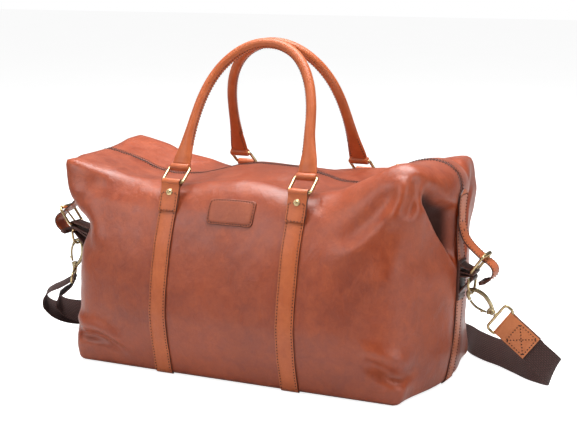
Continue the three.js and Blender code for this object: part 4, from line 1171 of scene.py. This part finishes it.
slider = Heap()
nose = [(7 * math.cos(t), 4.6 * math.sin(t)) for t in np.linspace(0, 2 * math.pi, 25)[:-1]]
slider.add(*plate(nose, 0.5, 2.6, 0.7))
arch = [on_zip(4.5 * math.cos(t), 0, 3 + 5.6 * math.sin(t)) for t in np.linspace(0, math.pi, 12)]
slider.add(*tube(arch, 1.05, 10))
slider.make("zip_slider_metal", "brass", "zip_slider", "zip_slider_body")

pull = Heap()
eye = [on_zip(along, across, 6.8) for along, across in ((1, -3), (1, 3), (-7, 3), (-7, -3))]
pull.add(*tube(rounded_loop(eye, 1.6), 0.75, 10, True))
blade = [(-6.4, -2.6), (-6.4, 2.6), (-10, 3.5), (-24, 3.6), (-26.4, 2.4)]
blade += [(-27, 0), (-26.4, -2.4), (-24, -3.6), (-10, -3.5)]
pull.add(*plate(blade, 5.9, 1.7, 0.45, 0.14))
pull.make("zip_pull_metal", "brass", "zip_pull", "zip_pull_body")


# ---------------------------------------------------------------- rings, their leather, rivets and handles
def ring_places(side, x):
    """The middles of a handle ring's low bar and high bar."""
    return np.array([x, side * 112.5, 273.0]), np.array([x, side * 89.0, 291.0])


def ring_leather(name, side, x, node):
    """Leather folded over the ring's low bar, both plies running down onto the strap.

    Gives the rivet's place and the way out there.
    """
    low, _ = ring_places(side, x)
    face = FACES[side]
    z_front = np.array([240, 244, 248, 252, 256, 260])
    z_under = np.array([246, 250, 254, 257])
    front, _ = down_face(face, x, z_front, np.interp(z_front, [240, 260], [3.5, 7.0]))
    under, _ = down_face(face, x, z_under, 3.4)
    down = unit(front[-1] - low)
    out = unit(np.cross([float(side), 0, 0], down))
    out *= np.sign(out[1] * side)
    bend = 4.3
    around = np.radians(np.linspace(222, -42, 18))
    turns = [low + bend * (out * math.cos(t) - down * math.sin(t)) for t in around]
    pinch = [low + down * 9.0 - out * 0.6, low + down * 9.0 + out * 1.6]
    line = curve_through(np.vstack([under, pinch[:1], turns, pinch[1:], front[::-1]]), 3)
    Heap().add(*strip(line, X_AXIS, 14.6, 2.0, 0.55)).make(name, "strap", node)
    tail = line[-40:]
    tail = evenly(tail[tail[:, 2] < low[2] - 8], 1.2)
    normal = outwards(tail, X_AXIS, out)
    rows = Heap()
    top = tail + normal * 1.02
    two_rows(rows, top[1:-1], X_AXIS, normal[1:-1], 11.8, 0)
    cross = np.linspace(-11.8, 11.8, 8)[:, None] * X_AXIS
    for k in (-2, 1):
        stitches(rows, top[k] + cross, normal[k])
    rows.make(name + "_stitching", "thread")
    spot = int(np.argmin(np.abs(tail[:, 2] - 260)))
    return top[spot], normal[spot]


def rivet(name, at, way, node):
    dome = [(4.7, -0.3), (4.9, 0.3), (4.6, 0.9), (3.7, 1.1), (3.3, 0.9)]
    dome += [(3.0, 1.5), (2.2, 2.2), (1.1, 2.6), (0.1, 2.7)]
    Heap().add(*turned_profile(at, way, dome, 28)).make(name, "brass", node)


# Half of the handle's arch: across and up from its foot. Then its half width and half thickness by the rise.
HANDLE_LINE = [
    (100, 4), (100, 9), (99, 20), (97.5, 38), (95.5, 60), (93, 82),
    (88.5, 107), (80, 133), (66, 157), (46, 177), (23, 189), (0, 192.5),
]
HANDLE_WIDE = soft_table([0, 8, 20, 38, 60, 82], [14, 13.8, 12.4, 9.6, 7.7, 7.1], 4)
HANDLE_THICK = soft_table([0, 5, 12, 20, 38, 60, 82], [2.2, 2.4, 3.6, 4.6, 6.0, 6.9, 7.1], 3)


def handle(side_name, side):
    """A rolled handle with flat feet, each foot folded round its ring's high bar."""
    _, foot = ring_places(side, 0)
    up = unit(np.array([0, side * 9.0, 464.0]) - foot)
    normal = np.cross(X_AXIS, up) * side
    line = evenly(curve_through([(-a, b) for a, b in HANDLE_LINE] + HANDLE_LINE[-2::-1], 6), 3.0)
    way = unit(np.gradient(line, axis=0))
    turn = 2 * np.pi * np.arange(28) / 28
    # The sewn seam stands as a low ridge along the inner side of the arch.
    off_seam = np.mod(turn - math.pi + math.pi, 2 * math.pi) - math.pi
    ridge = 1 + 0.10 * np.exp(-0.5 * (off_seam / 0.16) ** 2)
    lean = 0.0 if side > 0 else -3.5
    wides = np.array([HANDLE_WIDE(rise) for _, rise in line])[:, None]
    thicks = np.array([HANDLE_THICK(rise) for _, rise in line])[:, None]
    sections, spine, inward = [], [], []
    for (a, rise), (wa, wr), wide, thick in zip(line, way, wides, thicks):
        a = a + lean * smoothstep(a, 40, 90) * smoothstep(rise, 20, 70)
        centre = foot + X_AXIS * a + up * rise
        cross = -wr * X_AXIS + wa * up
        ring = wide * np.cos(turn) * ridge
        sections.append(centre + ring[:, None] * cross + (thick * np.sin(turn))[:, None] * normal)
        spine.append(centre)
        inward.append(-cross)
    heap = Heap().add(*skin(sections))
    for x in (-100, 100):
        heap.add(*roll(foot + X_AXIS * x, 5.5, 14.6, X_AXIS, 1.0))
    body = f"{side_name}_handle_body"
    heap.make(f"{side_name}_handle_leather", "strap", f"{side_name}_handle", body)
    sewing = Heap()
    spine, inward = np.array(spine), np.array(inward)
    inner = spine + wides * inward * 0.99
    for s in (-1, 1):
        seam = inner + normal * s * 2.3 - inward * 0.35
        stitches(sewing, seam[10:-10], inward[10:-10], SEAM_STITCH)
    # A row of stitches down each edge of both flat feet.
    for end in (slice(1, 13), slice(-13, -1)):
        for s in (-1, 1):
            row = spine + inward * s * wides * 0.8 + normal * thicks * 0.62
            stitches(sewing, row[end], normal)
    sewing.make(f"{side_name}_handle_stitching", "thread", body=body)


for side_name, side in (("front", -1), ("back", 1)):
    handle(side_name, side)
    for end_name, x in (("left", -100), ("right", 100)):
        place = f"{side_name}_{end_name}"
        low, high = ring_places(side, x)
        wire = loop_wire(low, (1, 0, 0), high - low, 16.8, 4.5, 2.2)
        Heap().add(*wire).make(f"{place}_ring_wire", "brass", f"{place}_ring", f"{place}_ring_body")
        at, way = ring_leather(f"{place}_ring_leather", side, x, f"{place}_chape")
        rivet(f"{place}_rivet_head", at, way, f"{place}_rivet")


# ---------------------------------------------------------------- the ends: strips, straps, buckles, D-rings
END_STRAP_LINE = [
    (295.4, 264), (294.9, 250), (294.3, 236), (294.8, 222), (298, 211), (304, 202), (312, 194), (320, 187.5),
    (327, 182), (335, 177.5), (341, 171.5), (342.3, 164.5), (339, 157.5), (331.5, 151.5), (323, 149),
]
BUCKLE_BAR, BUCKLE_ROLLER = np.array([312, 0, 163.0]), np.array([330, 0, 188.0])
D_BAR = np.array([309, 0, 153.5])
LEFT_SHIFT = np.array([-20.0, -20, 16])


def to_end(end, points):
    """Points given for the right end, where they lie at this end."""
    p = np.array(points, float)
    if end == "left":
        p = p * (-1, 1, 1) + LEFT_SHIFT
    return p


def end_wall(end, y, z, lift):
    """Points down an end wall, and the ways out of it."""
    return ENDS[end].at(np.full(len(z), y), np.asarray(z, float), lift)


def end_piece(heap, end, name, look, node, body="bag"):
    """Turn a heap built for the right end to the end it is for. The names given go after the end's."""
    if end == "left":
        heap.verts = [v * (-1, 1, 1) + LEFT_SHIFT for v in heap.verts]
        heap.faces = [f[::-1] for f in heap.faces]
    heap.make(f"{end}_{name}", look, f"{end}_{node}", body if body == "bag" else f"{end}_{body}")


def end_strip(end):
    """The strap sewn down the middle of the end wall."""
    z = np.concatenate([np.linspace(236, 14, 56), [11, 8, 6, 4.2, 2.5, 0.5]])
    at, normal = end_wall(end, 0, z, 1.1)
    heap = Heap()
    wide = laid_strip(heap, at, normal, (0, 1, 0), 13.5, 2.1)
    heap.make(f"{end}_centre_strip", "strap", f"{end}_end_strip")
    rows = Heap()
    two_rows(rows, at[:-3], wide[:-3], normal[:-3], 11, 1.05, WIDE_STITCH)
    rows.make(f"{end}_centre_strip_stitching", "thread")


def end_strap(end):
    """From its pointed head over the zip's end, down and out through the buckle, and back under its keeper."""
    z = np.array([266, 262, 257, 250, 242, 234, 226.0])
    wall, _ = end_wall(end, 0, z, 3.4)
    free = to_end(end, [(x, 0, h) for x, h in END_STRAP_LINE[4:]])
    line = evenly(curve_through(np.vstack([wall, free]), 6), 2.2)
    far = lengths(line)
    # Narrow at its pointed head and at its turned-back end, a little wider just behind the head.
    half = 13.2 - 8.5 * (1 - smoothstep(far, 0, 7))
    half += 1.6 * smoothstep(far, 2, 9) * (1 - smoothstep(far, 16, 34))
    half -= 9.0 * smoothstep(far, far[-1] - 12, far[-1]) ** 2
    half[-1] = max(half[-1], 2)
    Heap().add(*strip(line, Y_AXIS, half, 2.2, 0.6)).make(f"{end}_strap_leather", "strap", f"{end}_end_strap")
    out = np.cross(unit(np.gradient(line, axis=0)), Y_AXIS)
    out *= np.sign(out[:, :1]) * (1 if end == "right" else -1)
    first = out[3]
    for i in range(len(out)):
        if np.dot(out[i], first if i < 3 else out[i - 1]) < 0:
            out[i] = -out[i]
    rows = Heap()
    edge = (half - 2.4)[:, None] * Y_AXIS
    two_rows(rows, line[3:-2], edge[3:-2], out[3:-2], 1, 1.1)
    head = line[3] + out[3] * 1.1 + np.linspace(-1, 1, 6)[:, None] * np.array([0, half[3] - 2.6, 0])
    stitches(rows, head, out[3])
    rows.make(f"{end}_strap_stitching", "thread")
    # Each hole is a closed dark disc: its rim is the punched hole's painted edge, its dark middle is painted
    # shade inside the hole.
    holes = Heap()
    eyelet = [(1.9, 0.9), (1.9, 1.35), (1.3, 1.45), (1.1, 1.2)]
    for place in (44, 58):
        i = int(np.argmin(np.abs(far - place)))
        holes.add(*turned_profile(line[i], out[i], eyelet, 14))
    holes.make(f"{end}_strap_holes", "holes")


def buckle(end):
    """The frame with its roller, and the prong on its bar."""
    frame = Heap().add(*loop_wire(BUCKLE_BAR, Y_AXIS, BUCKLE_ROLLER - BUCKLE_BAR, 17, 4.5, 2.0))
    roller = [(2.3, -12.6), (2.9, -12), (2.9, 12), (2.3, 12.6)]
    frame.add(*turned_profile(BUCKLE_ROLLER, Y_AXIS, roller, 20))
    end_piece(frame, end, "buckle_metal", "brass", "buckle_frame", "buckle_frame_body")
    tip = np.array([333.8, 0, 186.4])
    way = unit(tip - BUCKLE_BAR)
    line = np.linspace(BUCKLE_BAR + way * 2.6, tip + way * 1.2, 12)
    prong = Heap().add(*tube(line, np.concatenate([np.linspace(1.5, 1.3, 10), [1.1, 0.5]]), 12))
    prong.add(*roll(BUCKLE_BAR, 3.5, 1.6, Y_AXIS, 0.5))
    end_piece(prong, end, "prong_metal", "brass", "buckle_prong", "buckle_prong_body")


def d_ring(end):
    """A half round of wire under its straight bar."""
    turn = np.linspace(math.pi, 2 * math.pi, 25)
    arc = [D_BAR + (0, 15 * math.cos(t), -5 + 17 * math.sin(t)) for t in turn]
    bar = ((15, -1.8), (13.4, 0), (8, 0), (0, 0), (-8, 0), (-13.4, 0), (-15, -1.8))
    wire = Heap().add(*tube(arc + [D_BAR + (0, y, z) for y, z in bar], 1.9, 14, True))
    end_piece(wire, end, "d_ring_wire", "brass", "d_ring", "d_ring_body")


def anchor(end):
    """Dark leather sewn to the end wall and folded round the buckle's bar and the D-ring's."""
    heap = Heap()
    sign = 1 if end == "right" else -1
    buckle_out, buckle_up = unit([sign * 0.9, 0, 0.45]), unit([-sign * 0.45, 0, 0.9])
    ring_out, ring_up = np.array([sign, 0, 0.0]), np.array([0, 0, 1.0])
    loops = (
        (BUCKLE_BAR, buckle_out, buckle_up, (176, 172), (162, 158), 11.6),
        (D_BAR, ring_out, ring_up, (160, 156), (132, 128), 12.2),
    )
    for bar, out, up, above, below, half in loops:
        centre = to_end(end, bar)
        upper, _ = end_wall(end, centre[1], above, 3.4)
        lower, _ = end_wall(end, centre[1], below, 3.4)
        upper[:, 1] = lower[:, 1] = centre[1]
        bend = [centre + 3.6 * (out * math.cos(t) + up * math.sin(t)) for t in np.linspace(1.9, -1.9, 12)]
        heap.add(*strip(curve_through(np.vstack([upper, bend, lower]), 4), Y_AXIS, half, 2.0))
    y = to_end(end, BUCKLE_BAR)[1]
    wall, normal = end_wall(end, y, np.linspace(178, 122, 14), 2.9)
    wide = laid_strip(heap, wall, normal, (0, 1, 0), 14.5, 1.8)
    heap.make(f"{end}_anchor_leather", "anchor", f"{end}_anchor")
    rows = Heap()
    two_rows(rows, wall, wide, normal, 12.4, 0.9)
    rows.make(f"{end}_anchor_stitching", "anchor_thread")


def keeper(end):
    """The band over the strap's turned-back end."""
    (x0, z0), (x1, z1) = END_STRAP_LINE[13], END_STRAP_LINE[14]
    centre = np.array([(x0 + x1) / 2, 0, (z0 + z1) / 2])
    way = unit([x1 - x0, 0, z1 - z0])
    up = np.cross(way, Y_AXIS)
    corners = ((-14.9, -2.6), (14.9, -2.6), (14.9, 2.6), (-14.9, 2.6))
    loop = rounded_loop([centre + Y_AXIS * a + up * b for a, b in corners], 2.0, 4)
    middle = loop.mean(axis=0)
    band = ((-3.6, -0.7), (3.6, -0.7), (3.8, 0), (3.6, 0.7), (-3.6, 0.7), (-3.8, 0))
    sections = [np.array([at + way * a + unit(at - middle) * b for a, b in band]) for at in loop]
    heap = Heap().add(*skin(sections, closed_line=True))
    end_piece(heap, end, "keeper_leather", "keeper", "keeper")


for end in ("right", "left"):
    end_strip(end)
    end_strap(end)
    buckle(end)
    d_ring(end)
    anchor(end)
    keeper(end)


# ---------------------------------------------------------------- inside and underneath
(outer, inner), lining_faces, _, _ = two_plies(~zip_opening(17, ZIP_END - 8), 3.2, 4.1)
outer[:, 2] = np.maximum(outer[:, 2], 6.0)
inner[:, 2] = np.maximum(inner[:, 2], 6.9)
made("lining_cloth", np.concatenate([outer, inner]), lining_faces, "lining", "lining")

base_rim = rounded_loop([(-212, -97, 0), (212, -97, 0), (212, 97, 0), (-212, 97, 0)], 10, 6)
base_steps = ((1, 0.0), (0, 0.6), (0, 1.7), (1, 2.2))
base_rings = [base_rim + (0, 0, h) - np.sign(base_rim) * (s, s, 0) for s, h in base_steps]
Heap().add(*skin(base_rings)).make("base_leather", "base", "base_panel")

board = bpy.data.objects.get("base_board")
if board is not None:
    board.data.materials.clear()
    board.data.materials.append(board_face)


# ---------------------------------------------------------------- floor and light
def softbox(name, at, aim, wide, tall, power, tint=(1, 1, 1)):
    lamp = bpy.data.lights.new(name, "AREA")
    lamp.shape = "RECTANGLE"
    lamp.size, lamp.size_y = wide, tall
    lamp.energy = power
    lamp.color = tint
    thing = bpy.data.objects.new(name, lamp)
    thing.location = at
    thing.rotation_euler = (Vector(aim) - Vector(at)).to_track_quat("-Z", "Y").to_euler()
    bpy.context.scene.collection.objects.link(thing)


def backdrop():
    s = Shader("studio_floor")
    tone = s.mix(s.spread(s.noise(2.5), 0.3, 0.7), (0.6, 0.6, 0.6, 1), (0.64, 0.64, 0.64, 1))
    seen = s.node("ShaderNodeLightPath").outputs["Is Camera Ray"]
    glow = s.math("MULTIPLY", seen, 0.85)
    bumps = s.bump(s.noise(60), 0.02, 0.001)
    material = s.set(
        Base_Color=tone, Roughness=0.9, Normal=bumps, Emission_Color=(1, 1, 1, 1), Emission_Strength=glow,
    )
    bpy.ops.mesh.primitive_plane_add(size=24, location=(0, 0, -0.0004))
    floor = bpy.context.object
    floor.name = "studio_floor"
    floor.data.materials.append(material)


backdrop()
softbox("overhead", (0.0, 0.1, 2.1), (0, 0, 0.15), 2.0, 1.4, 96)
softbox("front_left", (-1.5, -2.2, 1.5), (0, 0, 0.15), 1.0, 1.0, 21)
softbox("right_fill", (2.3, -0.8, 0.9), (0.2, 0, 0.15), 1.0, 1.2, 16)

world = bpy.data.worlds.new("studio")
world.use_nodes = True
world.node_tree.nodes["Background"].inputs["Color"].default_value = (1, 1, 1, 1)
# The room is white where it is seen, and dimmer as a light, so the leather keeps its depth.
seen = world.node_tree.nodes.new("ShaderNodeLightPath")
strength = world.node_tree.nodes.new("ShaderNodeMapRange")
strength.inputs["To Min"].default_value = 0.16
strength.inputs["To Max"].default_value = 1.0
world.node_tree.links.new(seen.outputs["Is Camera Ray"], strength.inputs["Value"])
world.node_tree.links.new(strength.outputs["Result"], world.node_tree.nodes["Background"].inputs["Strength"])
bpy.context.scene.world = world
bpy.context.scene.view_settings.view_transform = "Standard"
